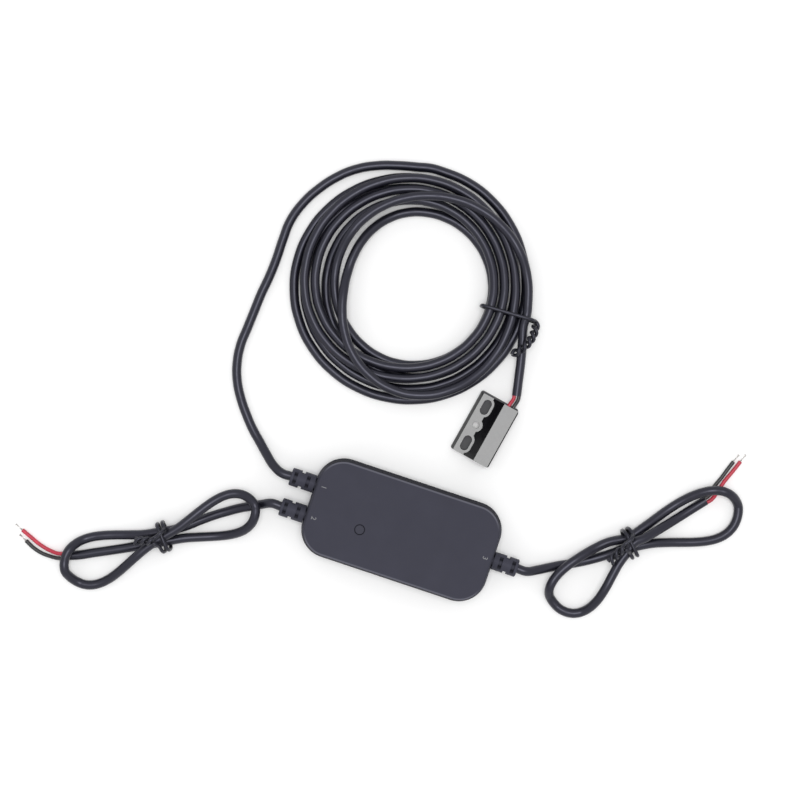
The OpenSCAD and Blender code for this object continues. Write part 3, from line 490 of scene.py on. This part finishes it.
# %% Stripped wires
WIRE_D = 1.7
WIRE_SPREAD = 1.05
WIRE_STRAIGHT = 2.5
SENSOR_STRAIGHT = 1.2
SENSOR_PLACE = Vector((20.9, 53.3))
SENSOR_TURN = 79.3
SENSOR_END = 28.3 / 2
PAD_T = 1.0
WIRE_HOLE_Z = 5.6
WIRE_OUTSIDE = 1
WIRE_INSIDE = 1.6
RED, BLACK = -1, 1


def last_heading(route):
    return (route[-1] - route[-2]).normalized()


def wire_route(jacket, hand, straight, rest):
    heading = last_heading(jacket)
    start = jacket[-1] + hand * WIRE_SPREAD * UP.cross(heading).normalized()
    return [start, start + straight * heading] + rest


def into_sensor(y, last_x):
    """Points of a wire that goes into the end of the sensor, as far as last_x."""
    return [
        turned_point(SENSOR_PLACE, SENSOR_TURN, x, y, PAD_T + WIRE_HOLE_Z)
        for x in (SENSOR_END + WIRE_OUTSIDE, SENSOR_END - WIRE_INSIDE, last_x)
    ]


def wire(name, route, colour, node):
    piece = tube(name, route, WIRE_D)
    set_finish(piece, "wire_" + colour)
    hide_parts(node)
    return piece


wire_routes = {
    "trigger_wire_red": wire_route(trigger_tail, RED, WIRE_STRAIGHT, points(
        (-144.5, -58.6, 1.3), (-150, -57.5, 1.1), (-155, -55.6, 1), (-159.5, -53.8, 1))),
    "trigger_wire_black": wire_route(trigger_tail, BLACK, WIRE_STRAIGHT, points(
        (-144, -61, 1.2), (-148.5, -60.8, 1), (-152.5, -59.7, 1), (-156.5, -57.8, 1))),
    "power_wire_red": wire_route(power_tail, RED, WIRE_STRAIGHT, points(
        (128.2, 61.1, 1.4), (129.5, 65.5, 1), (131.6, 70.9, 1), (133.4, 75.9, 1))),
    "power_wire_black": wire_route(power_tail, BLACK, WIRE_STRAIGHT, points(
        (125.8, 61.7, 1.2), (127.5, 66, 1), (129.1, 70.9, 1), (130.5, 74.9, 1))),
    "sensor_wire_red": wire_route(
        sensor_tail, RED, SENSOR_STRAIGHT, into_sensor(y=-4.2, last_x=9.5)),
    "sensor_wire_black": wire_route(
        sensor_tail, BLACK, SENSOR_STRAIGHT, into_sensor(y=-6.3, last_x=-9.5)),
}
wires = {
    name: wire(name + "_core", route, name.rsplit("_", 1)[1], name)
    for name, route in wire_routes.items()
}
print("stripped wires:", len(wires))

# %% [markdown]
# Short leads carry the same two colours from each strain relief to a plug on the board inside. They
# don't show while the box is shut, so they could be left out, but the box wouldn't work without
# them.

# %% Leads inside the box
LEAD_OUT_X = 37.988
LEAD_OUT_Z = SENSOR_EXIT.z
LEAD_IN_X = 30.65
LEAD_IN_Z = 8.8
LEAD_RUN = (LEAD_OUT_X - LEAD_IN_X) / 4
LEAD_PITCH = 2
LEAD_PROFILE = (
    (LEAD_OUT_X, LEAD_OUT_Z), (LEAD_OUT_X - LEAD_RUN, LEAD_OUT_Z),
    (LEAD_IN_X + LEAD_RUN, LEAD_IN_Z), (LEAD_IN_X, LEAD_IN_Z),
)
PORTS = ((-1, SENSOR_EXIT), (-1, TRIGGER_EXIT), (1, POWER_EXIT))
for number, (side, port) in enumerate(PORTS, start=1):
    for colour, hand in (("red", 1), ("black", -1)):
        lead_y = port.y + side * hand * LEAD_PITCH / 2
        route = points(*((side * x, lead_y, z) for x, z in LEAD_PROFILE))
        wire(f"inner_lead_{colour}_{number}", route, colour, "inner_leads_" + colour)
print("inner leads: 6")

# %% [markdown]
# A tinned wire end is seven thin strands, six round one, twisted and dipped in solder. A cone with
# a bump map would do from afar, but up close the strands show. One strand is a cylinder with rings
# along it, so that it can be twisted later, and with a rounded end.

# %% One strand of a wire end
TIP_L = 4.0
STRAND_R = 0.15
STRAND_SIDES = 10
STRAND_CUTS = 14
STRAND_ROUND = 0.07
STRAND_TRIM = (0.0, 0.25, 0.1, 0.35, 0.15, 0.3, 0.05)
OUTER_STRANDS = len(STRAND_TRIM) - 1
BEVEL_SEGMENTS = 3
FACES_UP = 0.9


def pick(*objects):
    """Selects only these objects. The first is the active one."""
    bpy.ops.object.select_all(action="DESELECT")
    for item in objects:
        item.select_set(True)
    bpy.context.view_layer.objects.active = objects[0]


def strand(index):
    """One upright strand beside the origin. The last one stands on the origin itself."""
    length = (TIP_L - STRAND_TRIM[index]) * MM
    angle = 360 / OUTER_STRANDS * index
    out = 0 if index == OUTER_STRANDS else 2 * STRAND_R * MM
    bpy.ops.object.select_all(action="DESELECT")
    bpy.ops.mesh.primitive_cylinder_add(
        vertices=STRAND_SIDES, radius=STRAND_R * MM, depth=length,
        location=(out * cosd(angle), out * sind(angle), length / 2),
    )
    piece = bpy.context.active_object
    bpy.ops.object.mode_set(mode="EDIT")
    bpy.ops.mesh.select_all(action="DESELECT")
    bpy.ops.object.mode_set(mode="OBJECT")
    for edge in piece.data.edges:
        a, b = (piece.data.vertices[v].co for v in edge.vertices)
        edge.select = abs(a.z - b.z) > length / 2
    bpy.ops.object.mode_set(mode="EDIT")
    bpy.ops.mesh.subdivide_edgering(number_cuts=STRAND_CUTS, interpolation="LINEAR")
    bpy.ops.mesh.select_all(action="DESELECT")
    bpy.ops.object.mode_set(mode="OBJECT")
    for face in piece.data.polygons:
        face.select = face.normal.z > FACES_UP
    bpy.ops.object.mode_set(mode="EDIT")
    bpy.ops.mesh.bevel(offset=STRAND_ROUND * MM, segments=BEVEL_SEGMENTS, affect="EDGES")
    bpy.ops.object.mode_set(mode="OBJECT")
    return piece


print("a strand is", 2 * STRAND_R, "mm thick")

# %% [markdown]
# Seven strands of slightly different lengths are joined, and a twist runs through all of them. The
# bundle is made upright at the origin and then turned to the end of its wire, because a twist is
# simplest along an axis.

# %% Tinned wire ends
TIP_TWIST = 230
TIP_SMOOTH_ANGLE = 40


def wire_tip(name, route):
    """Seven twisted strands at the end of a wire."""
    strands = [strand(index) for index in range(len(STRAND_TRIM))]
    pick(*strands)
    bpy.ops.object.transform_apply(location=True, rotation=True, scale=True)
    bpy.ops.object.join()
    piece = bpy.context.active_object
    piece.name = name
    lay = piece.modifiers.new("lay", "SIMPLE_DEFORM")
    lay.deform_method = "TWIST"
    lay.deform_axis = "Z"
    lay.angle = math.radians(TIP_TWIST)
    bpy.ops.object.modifier_apply(modifier="lay")
    bpy.ops.object.shade_smooth_by_angle(angle=math.radians(TIP_SMOOTH_ANGLE))
    piece.rotation_euler = last_heading(route).to_track_quat("Z", "Y").to_euler()
    piece.location = route[-1] * MM
    bpy.ops.object.transform_apply(location=True, rotation=True, scale=True)
    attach(piece, "case")
    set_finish(piece, "tinned_copper")
    return piece


tips = {}
for cord_name in ("trigger", "power"):
    for colour in ("red", "black"):
        name = f"{cord_name}_wire_{colour}"
        tips[name] = wire_tip(name + "_tip", wire_routes[name])
        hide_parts(cord_name + "_wire_tips")
print("wire ends:", len(tips))

# %% [markdown]
# The length of each cord and the pieces on it are worked out here. The photograph shows all three
# from end to end, so their lengths are the photograph's and nothing is wound away.


def on_cord(name, tied):
    return [tied] + [
        piece for found in (wires, tips) for key, piece in found.items() if key.startswith(name)
    ]


SENSOR_EXIT * MM
run(sensor_route)
on_cord("sensor", coil_tie)
run(trigger_route)
on_cord("trigger", trigger_tie)
run(power_route)
on_cord("power", power_tie)

# %% [markdown]
# A mould never leaves a perfectly sharp edge. The pieces that show could be modelled again, but a
# merged copy of the CAD node keeps its sizes: flat areas are joined, a tiny bevel runs along the
# sharp edges, and the rest is shaded smooth. Weighted normals keep the flat faces flat, so that a
# polished one mirrors the lamp evenly right up to its edge. The bevel along the parting line is
# what draws the seam round the box.

# %% Softened copies of the hard pieces
MERGE_D = 0.002
FLAT_ANGLE = 0.5
FLAT_WEIGHT = 100
BEVEL_ANGLE = 32
# CAD node, bevel in millimetres, finish and body
SKINS = (
    ("upper_shell", 0.18, "case_charcoal", "case"),
    ("lower_shell", 0.18, "case_charcoal", "case"),
    ("reset_button", 0.12, "button_charcoal", "button"),
    ("sensor_relief", 0.2, "relief_pvc", "case"),
    ("trigger_relief", 0.2, "relief_pvc", "case"),
    ("power_relief", 0.2, "relief_pvc", "case"),
    ("sensor_housing", 0.16, "sensor_black", "case"),
    ("sensor_pad", 0.1, "pad_foam", "case"),
)


def softened(node, edge, slot, body):
    """A copy of a CAD node with edges bevelled by so many millimetres, which stands for it."""
    piece = bpy.data.objects.new(node + "_skin", nodes[node].data.copy())
    bpy.context.scene.collection.objects.link(piece)
    pick(piece)
    bpy.ops.mesh.customdata_custom_splitnormals_clear()
    bpy.ops.object.mode_set(mode="EDIT")
    bpy.ops.mesh.select_all(action="SELECT")
    bpy.ops.mesh.remove_doubles(threshold=MERGE_D * MM)
    bpy.ops.mesh.dissolve_limited(angle_limit=math.radians(FLAT_ANGLE))
    bpy.ops.object.mode_set(mode="OBJECT")
    rounding = piece.modifiers.new("edge", "BEVEL")
    rounding.width = edge * MM
    rounding.segments = BEVEL_SEGMENTS
    rounding.limit_method = "ANGLE"
    rounding.angle_limit = math.radians(BEVEL_ANGLE)
    bpy.ops.object.modifier_apply(modifier="edge")
    bpy.ops.object.shade_smooth_by_angle(angle=math.radians(BEVEL_ANGLE))
    flats = piece.modifiers.new("flats", "WEIGHTED_NORMAL")
    flats.weight = FLAT_WEIGHT
    flats.keep_sharp = True
    bpy.ops.object.modifier_apply(modifier="flats")
    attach(piece, body)
    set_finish(piece, slot)
    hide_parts(node)


for row in SKINS:
    softened(*row)
print("softened pieces:", len(SKINS))

# %% [markdown]
# Each port gets a plain number in grey ink, so that the three cords can be told apart. A number
# could be painted in the finish, but a text object made into a thin mesh stays crisp at any
# distance.

# %% Port numbers
LID_Z = 17.0
INK_T = 0.006
MARK_SIZE = 3.2
MARK_TURN = -90
MARKS = (("1", -38.2, 7.4), ("2", -38.2, -6.8), ("3", 38.2, 0.4))
port_marks = []
for digit, x, y in MARKS:
    bpy.ops.object.select_all(action="DESELECT")
    bpy.ops.object.text_add(
        location=(x * MM, y * MM, LID_Z * MM), rotation=(0, 0, math.radians(MARK_TURN))
    )
    mark = bpy.context.active_object
    mark.data.body = digit
    mark.data.size = MARK_SIZE * MM
    mark.data.align_x = "CENTER"
    mark.data.align_y = "CENTER"
    mark.data.extrude = INK_T * MM
    bpy.ops.object.convert(target="MESH")
    mark = bpy.context.active_object
    mark.name = "port_number_" + digit
    bpy.ops.object.transform_apply(location=True, rotation=True, scale=True)
    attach(mark, "case")
    port_marks.append(mark)
print("port numbers:", len(port_marks))

# %% [markdown]
# Finishes are built from numbers, not pictures, so they stay sharp up close. Nodes could be wired
# by hand, one by one. Here a small class wraps one socket of a shader, so that shader maths reads
# as plain arithmetic, and one method adds any other node.

# %% Shader arithmetic


class Val:
    """One socket of a shader. Arithmetic on it adds math nodes."""

    def __init__(self, tree, socket):
        self.tree = tree
        self.socket = socket

    def node(self, kind, inputs, out=0, **settings):
        """Adds a node, feeds its inputs by name or number, and returns one output."""
        made = self.tree.nodes.new(kind)
        for key, value in settings.items():
            setattr(made, key, value)
        for key, value in inputs.items():
            if isinstance(value, Val):
                self.tree.links.new(value.socket, made.inputs[key])
            else:
                made.inputs[key].default_value = value
        return Val(self.tree, made.outputs[out])

    def math(self, operation, a, b=0.0):
        return self.node("ShaderNodeMath", {0: a, 1: b}, operation=operation)

    def __add__(self, other):
        return self.math("ADD", self, other)

    __radd__ = __add__

    def __sub__(self, other):
        return self.math("SUBTRACT", self, other)

    def __rsub__(self, other):
        return self.math("SUBTRACT", other, self)

    def __mul__(self, other):
        return self.math("MULTIPLY", self, other)

    __rmul__ = __mul__

    def __truediv__(self, other):
        return self.math("DIVIDE", self, other)

    def __rtruediv__(self, other):
        return self.math("DIVIDE", other, self)

    def __gt__(self, other):
        return self.math("GREATER_THAN", self, other)

    def __lt__(self, other):
        return self.math("LESS_THAN", self, other)

    def __abs__(self):
        return self.math("ABSOLUTE", self)

    def noise(self, scale, detail=2.0):
        """Cloudy noise from 0 to 1 on this place, scale in lumps per millimetre."""
        return self.node("ShaderNodeTexNoise", {"Vector": self, "Scale": scale, "Detail": detail})

    def cells(self, scale):
        """Distance to the nearest cell centre."""
        return self.node("ShaderNodeTexVoronoi", {"Vector": self, "Scale": scale}, feature="F1")

    def ramp(self, low, high):
        """0 below low, 1 above high, soft between."""
        return self.node(
            "ShaderNodeMapRange", {"Value": self, "From Min": low, "From Max": high},
            interpolation_type="SMOOTHSTEP",
        )

    def mix(self, a, b):
        """Colour a where this is 0 and colour b where it is 1."""
        return self.node("ShaderNodeMix", {0: self, 6: a, 7: b}, out=2, data_type="RGBA")

    def axes(self):
        """The three numbers of a place."""
        return [self.node("ShaderNodeSeparateXYZ", {0: self}, out=axis) for axis in range(3)]


print("shader arithmetic ready")

# %% [markdown]
# Every finish starts in the same way: a new material, its shader, and the place on the object in
# millimetres, so that a grain has the size that it has on the real thing. That could be written out
# for each finish. Two helpers do it once, and a dictionary keeps each finish under its name.

# %% Starting and feeding a finish
materials = {}


def rgb(red, green, blue, tone=1.0):
    return (red * tone, green * tone, blue * tone, 1.0)


def new_material(name):
    """Starts a material. Gives its shader and the place on the object in millimetres."""
    made = bpy.data.materials.new(name)
    made.use_nodes = True
    materials[name] = made
    tree = made.node_tree
    place = Val(tree, tree.nodes.new("ShaderNodeTexCoord").outputs["Object"])
    place = place.node("ShaderNodeVectorMath", {0: place, "Scale": 1 / MM}, operation="SCALE")
    return tree.nodes["Principled BSDF"], place


def feed(shader, inputs, height=None, depth=0.0):
    """Sets or links the shader's inputs. A height in units of depth millimetres becomes bump."""
    for key, value in inputs.items():
        if isinstance(value, Val):
            value.tree.links.new(value.socket, shader.inputs[key])
        else:
            shader.inputs[key].default_value = value
    if height is not None:
        bump = height.node(
            "ShaderNodeBump", {"Height": height, "Strength": 1.0, "Distance": depth * MM}
        )
        height.tree.links.new(bump.socket, shader.inputs["Normal"])


print("place on an object is read in units of", MM, "m")

# %% [markdown]
# The long sides of the real box look darker than its lid and the long edges of the lid paler, and
# the pits between the rings of the reliefs are almost black. This light and shade is painted into
# the colour: painted shade on the long sides and in the pits, and painted highlights along the
# long edges of the lid and along the tops of the relief cores. A picture could carry it. Here it
# follows from the place on the piece: the distance from the lid's outline and the distance from a
# relief's axis say where each colour goes.

# %% Painted shade and highlights of the box and the reliefs
LID_HALF = (41.2, 21.2)
LID_CORNER = 11.2
RIM_W = 0.7
RIM_SOFT = 0.2
TOP_SOFT = 0.3
LONG_SIDE = (0.2, 0.8)
# Painted shade for the long sides and the pits, painted highlights for the lid's edges and core
# tops
PAINTED_SIDE_SHADE = (0.014, 0.014, 0.021)
PAINTED_EDGE_HIGHLIGHT = (0.11, 0.11, 0.135)
PIT_R = (2.9, 3.8)
PAINTED_PIT_SHADE = (0.003, 0.003, 0.005)
CORE_TOP = (2.2, 2.8)
PAINTED_CORE_HIGHLIGHT = (0.045, 0.045, 0.06)


def case_painted_shade_and_highlight(place, base):
    """Paints shade on the long sides of the box and highlights on the long edges of its lid."""
    x, y, z = place.axes()
    beyond = [
        axis.math("MAXIMUM", abs(axis) - (half - LID_CORNER), 0.0)
        for axis, half in zip((x, y), LID_HALF)
    ]
    reach = x.math("SQRT", beyond[0] * beyond[0] + beyond[1] * beyond[1])
    on_rim = reach.ramp(LID_CORNER - RIM_W - RIM_SOFT, LID_CORNER - RIM_W + RIM_SOFT)
    at_top = z.ramp(LID_Z - RIM_W, LID_Z - RIM_W + TOP_SOFT)
    long_side = (beyond[1] / LID_CORNER).ramp(*LONG_SIDE)
    # Painted shade on the long sides below the lid, then a painted highlight along the lid's long
    # edges
    base = (long_side * (1.0 - at_top)).mix(base, rgb(*PAINTED_SIDE_SHADE))
    return (long_side * at_top * on_rim).mix(base, rgb(*PAINTED_EDGE_HIGHLIGHT))


def relief_painted_shade_and_highlight(place, base):
    """Paints shade into the pits of a relief and a highlight along the top of its core."""
    x, y, z = place.axes()
    left = x < 0.0
    across = left * (abs(y) - SENSOR_EXIT.y) + (1.0 - left) * y
    up = z - SENSOR_EXIT.z
    out = x.math("SQRT", across * across + up * up)
    # Painted shade in the pits, with a painted highlight along the top of the core
    pit = up.ramp(*CORE_TOP).mix(rgb(*PAINTED_PIT_SHADE), rgb(*PAINTED_CORE_HIGHLIGHT))
    return out.ramp(*PIT_R).mix(pit, base)


print("pale edge of the lid:", RIM_W, "mm wide")

# %% [markdown]
# The box is moulded in a spark-eroded tool, which gives a fine matte grain. The reliefs are dull
# PVC, and the sensor comes from a polished tool and mirrors the lamp above it. One recipe makes all
# of them, because they differ only in colour, gloss and grain.

# %% Moulded plastics
NO_TINT = (1.0, 1.0, 1.0)
BLUE_SHINE = (0.82, 0.82, 1.0)
SHADE_SCALE = 0.09
SHADE_GLOSS = 0.08
GRAIN_GLOSS = 0.12
DUST_SCALE = 1.3
DUST_BAND = (0.70, 0.78)
DUST_GREY = (0.35, 0.35, 0.38)
SPECK_SCALE = 5.0
SPECK_BAND = (0.45, 0.7)


def moulded(name, colour, roughness, grain, depth, specular=0.5, shade=0.1, dust=0.0,
            tint=NO_TINT, painted_light=None):
    """A moulded plastic: grain in lumps per millimetre, a slow change of shade, a little dust."""
    shader, place = new_material(name)
    broad = place.noise(SHADE_SCALE, detail=3.0)
    fine = place.noise(grain, detail=3.0)
    base = broad.mix(rgb(*colour, tone=1 - shade), rgb(*colour, tone=1 + shade))
    patches = place.noise(DUST_SCALE, detail=4.0).ramp(*DUST_BAND)
    specks = patches * place.noise(SPECK_SCALE).ramp(*SPECK_BAND)
    base = (specks * dust).mix(base, rgb(*DUST_GREY))
    # Where given, this function paints shade and highlights into the colour
    if painted_light:
        base = painted_light(place, base)
    feed(
        shader,
        {
            "Base Color": base,
            "Roughness": roughness + (fine - 0.5) * GRAIN_GLOSS + (broad - 0.5) * SHADE_GLOSS,
            "Specular IOR Level": specular,
            "Specular Tint": rgb(*tint),
        },
        fine, depth,
    )


# The box and the reliefs take painted shade and painted highlights through their last argument.
moulded("case_charcoal", (0.045, 0.045, 0.061), roughness=0.7, grain=3.2, depth=0.012,
        specular=0.06, dust=0.25, painted_light=case_painted_shade_and_highlight)
moulded("button_charcoal", (0.043, 0.043, 0.058), roughness=0.6, grain=3.2, depth=0.008,
        specular=0.08)
moulded("relief_pvc", (0.042, 0.042, 0.057), roughness=0.5, grain=2.4, depth=0.01,
        specular=0.12, dust=0.15, tint=BLUE_SHINE, painted_light=relief_painted_shade_and_highlight)
moulded("sensor_black", (0.005, 0.005, 0.006), roughness=0.14, grain=0.5, depth=0.001,
        shade=0.05, dust=0.1)
moulded("ink_grey", (0.17, 0.17, 0.18), roughness=0.6, grain=3.2, depth=0.004)
print("finishes:", len(materials))

# %% [markdown]
# Cords, ties and wires have an extruded skin: satin, a little wavy, and dull where it was rubbed.
# The cords' shine is slightly blue in the photograph. The waves are only a bump, because they are
# far thinner than the jacket.

# %% Skins of cords, ties and wires
SKIN_GRAIN = 4.0
SKIN_GRAIN_GLOSS = 0.06
SKIN_GRAIN_SHARE = 0.08
RUB_SCALE = 0.3
RUB_BAND = (0.5, 0.75)
RUB_TONE = 1.35
RUB_GLOSS = 0.08


def sheathed(name, colour, roughness, wave, depth, tint=NO_TINT):
    """An extruded PVC skin: long shallow waves, faint grain and dull rubbed patches."""
    shader, place = new_material(name)
    waves = place.noise(wave, detail=1.0)
    fine = place.noise(SKIN_GRAIN)
    rubbed = place.noise(RUB_SCALE, detail=3.0).ramp(*RUB_BAND)
    feed(
        shader,
        {
            "Base Color": rubbed.mix(rgb(*colour), rgb(*colour, tone=RUB_TONE)),
            "Roughness": roughness + rubbed * RUB_GLOSS + (fine - 0.5) * SKIN_GRAIN_GLOSS,
            "Specular Tint": rgb(*tint),
        },
        waves + fine * SKIN_GRAIN_SHARE, depth,
    )


sheathed("cord_pvc", (0.006, 0.006, 0.010), roughness=0.35, wave=0.22, depth=0.03, tint=BLUE_SHINE)
sheathed("tie_wire", (0.006, 0.006, 0.009), roughness=0.38, wave=0.5, depth=0.03, tint=BLUE_SHINE)
sheathed("wire_red", (0.42, 0.02, 0.045), roughness=0.38, wave=0.5, depth=0.02)
sheathed("wire_black", (0.014, 0.014, 0.016), roughness=0.38, wave=0.5, depth=0.02)
print("finishes:", len(materials))

# %% [markdown]
# Screws, the shield can, tinned strands and reed blades are plated. A plain grey metal looks like
# plastic, so the grey gets fine drawn scratches, which are noise stretched along one axis, and
# cloudy tarnish.

# %% Metals
DRAWN = (1.0, 14.0, 14.0)
DRAWN_GLOSS = 0.15
DRAWN_DEPTH = 0.006
TARNISH_SCALE = 0.6
TARNISH_BAND = (0.4, 0.8)
TARNISH_TONE = 0.78
TARNISH_GLOSS = 0.12


def metal(name, colour, roughness, scratch):
    """Plated metal with fine drawn scratches and cloudy tarnish."""
    shader, place = new_material(name)
    stretched = place.node("ShaderNodeVectorMath", {0: place, 1: DRAWN}, operation="MULTIPLY")
    drawn = stretched.noise(scratch)
    tarnish = place.noise(TARNISH_SCALE, detail=3.0).ramp(*TARNISH_BAND)
    feed(
        shader,
        {
            "Base Color": tarnish.mix(rgb(*colour), rgb(*colour, tone=TARNISH_TONE)),
            "Roughness": roughness + tarnish * TARNISH_GLOSS + (drawn - 0.5) * DRAWN_GLOSS,
            "Metallic": 1.0,
        },
        drawn, DRAWN_DEPTH,
    )


metal("screw_steel", (0.46, 0.46, 0.48), roughness=0.34, scratch=0.8)
metal("shield_metal", (0.70, 0.70, 0.71), roughness=0.3, scratch=0.5)
metal("tinned_copper", (0.72, 0.70, 0.68), roughness=0.28, scratch=1.2)
metal("reed_metal", (0.62, 0.60, 0.57), roughness=0.25, scratch=1.0)
print("finishes:", len(materials))

# %% [markdown]
# The main board is green and the radio board blue, with copper tracks under the lacquer. Tracks
# could be modelled, but they are thinner than a hair. Here they are lanes that wander a little and
# run one way in some districts and the other way in the rest. Gilt holes lie among them.

# %% Circuit boards
LANE_SCALE = 0.12
LANE_WANDER = 6
DISTRICT_SCALE = 0.08
TRACK_HALF = 0.16
TRACK_TONE = 1.7
TRACK_DEPTH = 0.03
VIA_SCALE = 0.35
VIA_R = 0.16
VIA_GILT = (0.62, 0.50, 0.26)
VIA_ROUGHNESS = 0.15
LACQUER = 0.4
LACQUER_ROUGHNESS = 0.3
CLOUD_SCALE = 2.0
CLOUD_GLOSS = 0.05


def board(name, mask, pitch):
    """A lacquered circuit board. Its tracks show paler and slightly raised through the mask."""
    shader, place = new_material(name)
    x, y, _ = place.axes()
    wander = place.noise(LANE_SCALE, detail=1.0) * LANE_WANDER

    def on_track(axis):
        lane = axis / pitch + wander
        return abs(lane.math("FRACT", lane) - 0.5) < TRACK_HALF

    district = place.noise(DISTRICT_SCALE, detail=0.0) > 0.5
    track = on_track(x) * district + on_track(y) * (1.0 - district)
    via = place.cells(VIA_SCALE) < VIA_R
    pale = track.mix(rgb(*mask), rgb(*mask, tone=TRACK_TONE))
    clouds = place.noise(CLOUD_SCALE) * CLOUD_GLOSS
    feed(
        shader,
        {
            "Base Color": via.mix(pale, rgb(*VIA_GILT)),
            "Roughness": LACQUER_ROUGHNESS + via * VIA_ROUGHNESS + clouds,
            "Coat Weight": LACQUER - via * LACQUER,
        },
        track, TRACK_DEPTH,
    )


board("board_green", (0.012, 0.085, 0.035), pitch=1.3)
board("radio_blue", (0.012, 0.03, 0.11), pitch=0.9)
print("finishes:", len(materials))

# %% [markdown]
# The pad under the sensor is foam tape with open cells, and the reed switch sits in drawn glass.
# Both could be plain colours. The cells come from a Voronoi texture, whose distance field is round
# like a pore, and the glass lets light through with a faint green tint.

# %% Foam and glass
PORE_SCALE = 3.0
PORE_DEPTH = 0.08
PORE_GLOSS = 0.1
FOAM_DARK = (0.07, 0.07, 0.075)
FOAM_PALE = (0.10, 0.10, 0.105)
FOAM_ROUGHNESS = 0.8
RIPPLE_SCALE = 0.4
RIPPLE_DEPTH = 0.02
RIPPLE_GLOSS = 0.03
GLASS_DEEP = (0.80, 0.93, 0.86)
GLASS_CLEAR = (0.88, 0.97, 0.92)
GLASS_ROUGHNESS = 0.03


def foam(name):
    """Foam tape with dark grey open cells."""
    shader, place = new_material(name)
    pores = place.cells(PORE_SCALE)
    feed(
        shader,
        {
            "Base Color": pores.mix(rgb(*FOAM_DARK), rgb(*FOAM_PALE)),
            "Roughness": FOAM_ROUGHNESS + (pores - 0.5) * PORE_GLOSS,
        },
        pores, PORE_DEPTH,
    )


def glass(name):
    """Drawn glass with a faint green tint and slow ripples."""
    shader, place = new_material(name)
    ripple = place.noise(RIPPLE_SCALE, detail=1.0)
    feed(
        shader,
        {
            "Base Color": ripple.mix(rgb(*GLASS_DEEP), rgb(*GLASS_CLEAR)),
            "Roughness": GLASS_ROUGHNESS + ripple * RIPPLE_GLOSS,
            "Transmission Weight": 0.9,
            "IOR": 1.5,
        },
        ripple, RIPPLE_DEPTH,
    )


foam("pad_foam")
glass("reed_glass")
print("finishes:", len(materials))

# %% [markdown]
# The parts on the boards are moulded too: black relay, chip and switch cases, a grey inductor, dark
# blue capacitor sleeves, and pale connector nylon. They could stay grey while the lid is shut, but
# somebody who lifts it in another scene finds a working controller.

# %% Plastics inside the box
moulded("relay_black", (0.018, 0.018, 0.018), roughness=0.36, grain=1.6, depth=0.006)
moulded("inductor_grey", (0.13, 0.13, 0.135), roughness=0.62, grain=4.0, depth=0.03)
moulded("capacitor_sleeve", (0.012, 0.015, 0.045), roughness=0.3, grain=0.8, depth=0.004)
moulded("chip_black", (0.022, 0.022, 0.024), roughness=0.5, grain=5.0, depth=0.008)
moulded("header_cream", (0.78, 0.73, 0.58), roughness=0.42, grain=1.5, depth=0.005)
moulded("plug_white", (0.80, 0.79, 0.75), roughness=0.4, grain=1.5, depth=0.005)
moulded("switch_black", (0.02, 0.02, 0.021), roughness=0.45, grain=2.0, depth=0.006)
moulded("plunger_cream", (0.70, 0.66, 0.52), roughness=0.4, grain=1.5, depth=0.004)
moulded("filler_resin", (0.03, 0.03, 0.032), roughness=0.25, grain=0.3, depth=0.02)
print("finishes:", len(materials))

# %% [markdown]
# Every piece takes the finish of its slot. Each could be painted by hand, but the slots already say
# which is which. CAD nodes keep their shapes and only change their material. Copies and curves
# carry the name of their slot, and the port numbers get the ink.

# %% Paint the pieces


def paint(item, slot):
    item.data.materials.clear()
    item.data.materials.append(materials[slot])


for item in nodes.values():
    slot_name = item.material_slots[0].material.name.split(".")[0]
    item.material_slots[0].material = materials[slot_name]
dressed = [item for item in bpy.context.scene.objects if "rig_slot" in item]
for item in dressed:
    paint(item, item["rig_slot"])
for mark in port_marks:
    paint(mark, "ink_grey")
print("painted:", len(nodes) + len(dressed) + len(port_marks))

# %% [markdown]
# The photograph was lit by a white room and by one soft lamp over the table. The lamp is what the
# flat faces of the sensor mirror, and it draws the bright line along each cord. Most of the light
# comes from the room, so the narrow gaps between the turns of the coil stay dark. A glowing floor
# would make a white background too, but it would light the object from below, so the floor is
# white paper, which also keeps the object's shadow.

# %% Floor, lamp and room
FLOOR_SIZE = 6.0
PAPER_WHITE = 0.92
PAPER_ROUGHNESS = 0.9
LAMP_POINT = (20.0, 54.0)
LAMP_SIZE = 0.5
LAMP_HEIGHT = 1.2
LAMP_POWER = 7.1
ROOM_LIGHT = 0.78

bpy.ops.object.select_all(action="DESELECT")
bpy.ops.mesh.primitive_plane_add(size=FLOOR_SIZE, location=(0, 0, 0))
floor = bpy.context.active_object
floor.name = "floor"
paper = bpy.data.materials.new("paper")
paper.use_nodes = True
feed(paper.node_tree.nodes["Principled BSDF"], {
    "Base Color": rgb(PAPER_WHITE, PAPER_WHITE, PAPER_WHITE),
    "Roughness": PAPER_ROUGHNESS,
    "Specular IOR Level": 0.0,
})
floor.data.materials.append(paper)

bpy.ops.object.light_add(
    type="AREA", location=(LAMP_POINT[0] * MM, LAMP_POINT[1] * MM, LAMP_HEIGHT)
)
lamp = bpy.context.active_object
lamp.name = "softbox"
lamp.data.shape = "SQUARE"
lamp.data.size = LAMP_SIZE
lamp.data.energy = LAMP_POWER

room = bpy.data.worlds.new("room")
bpy.context.scene.world = room
room.use_nodes = True
tree = room.node_tree
rays = tree.nodes.new("ShaderNodeLightPath")
seen, mirrored, through_glass = (
    Val(tree, rays.outputs[f"Is {kind} Ray"]) for kind in ("Camera", "Glossy", "Transmission")
)
level = (seen + mirrored + through_glass) * (1.0 - ROOM_LIGHT) + ROOM_LIGHT
feed(tree.nodes["Background"], {"Color": rgb(1, 1, 1), "Strength": level})
bpy.context.scene.view_settings.view_transform = "Standard"
print("lamp", LAMP_POWER, "W, room", ROOM_LIGHT)
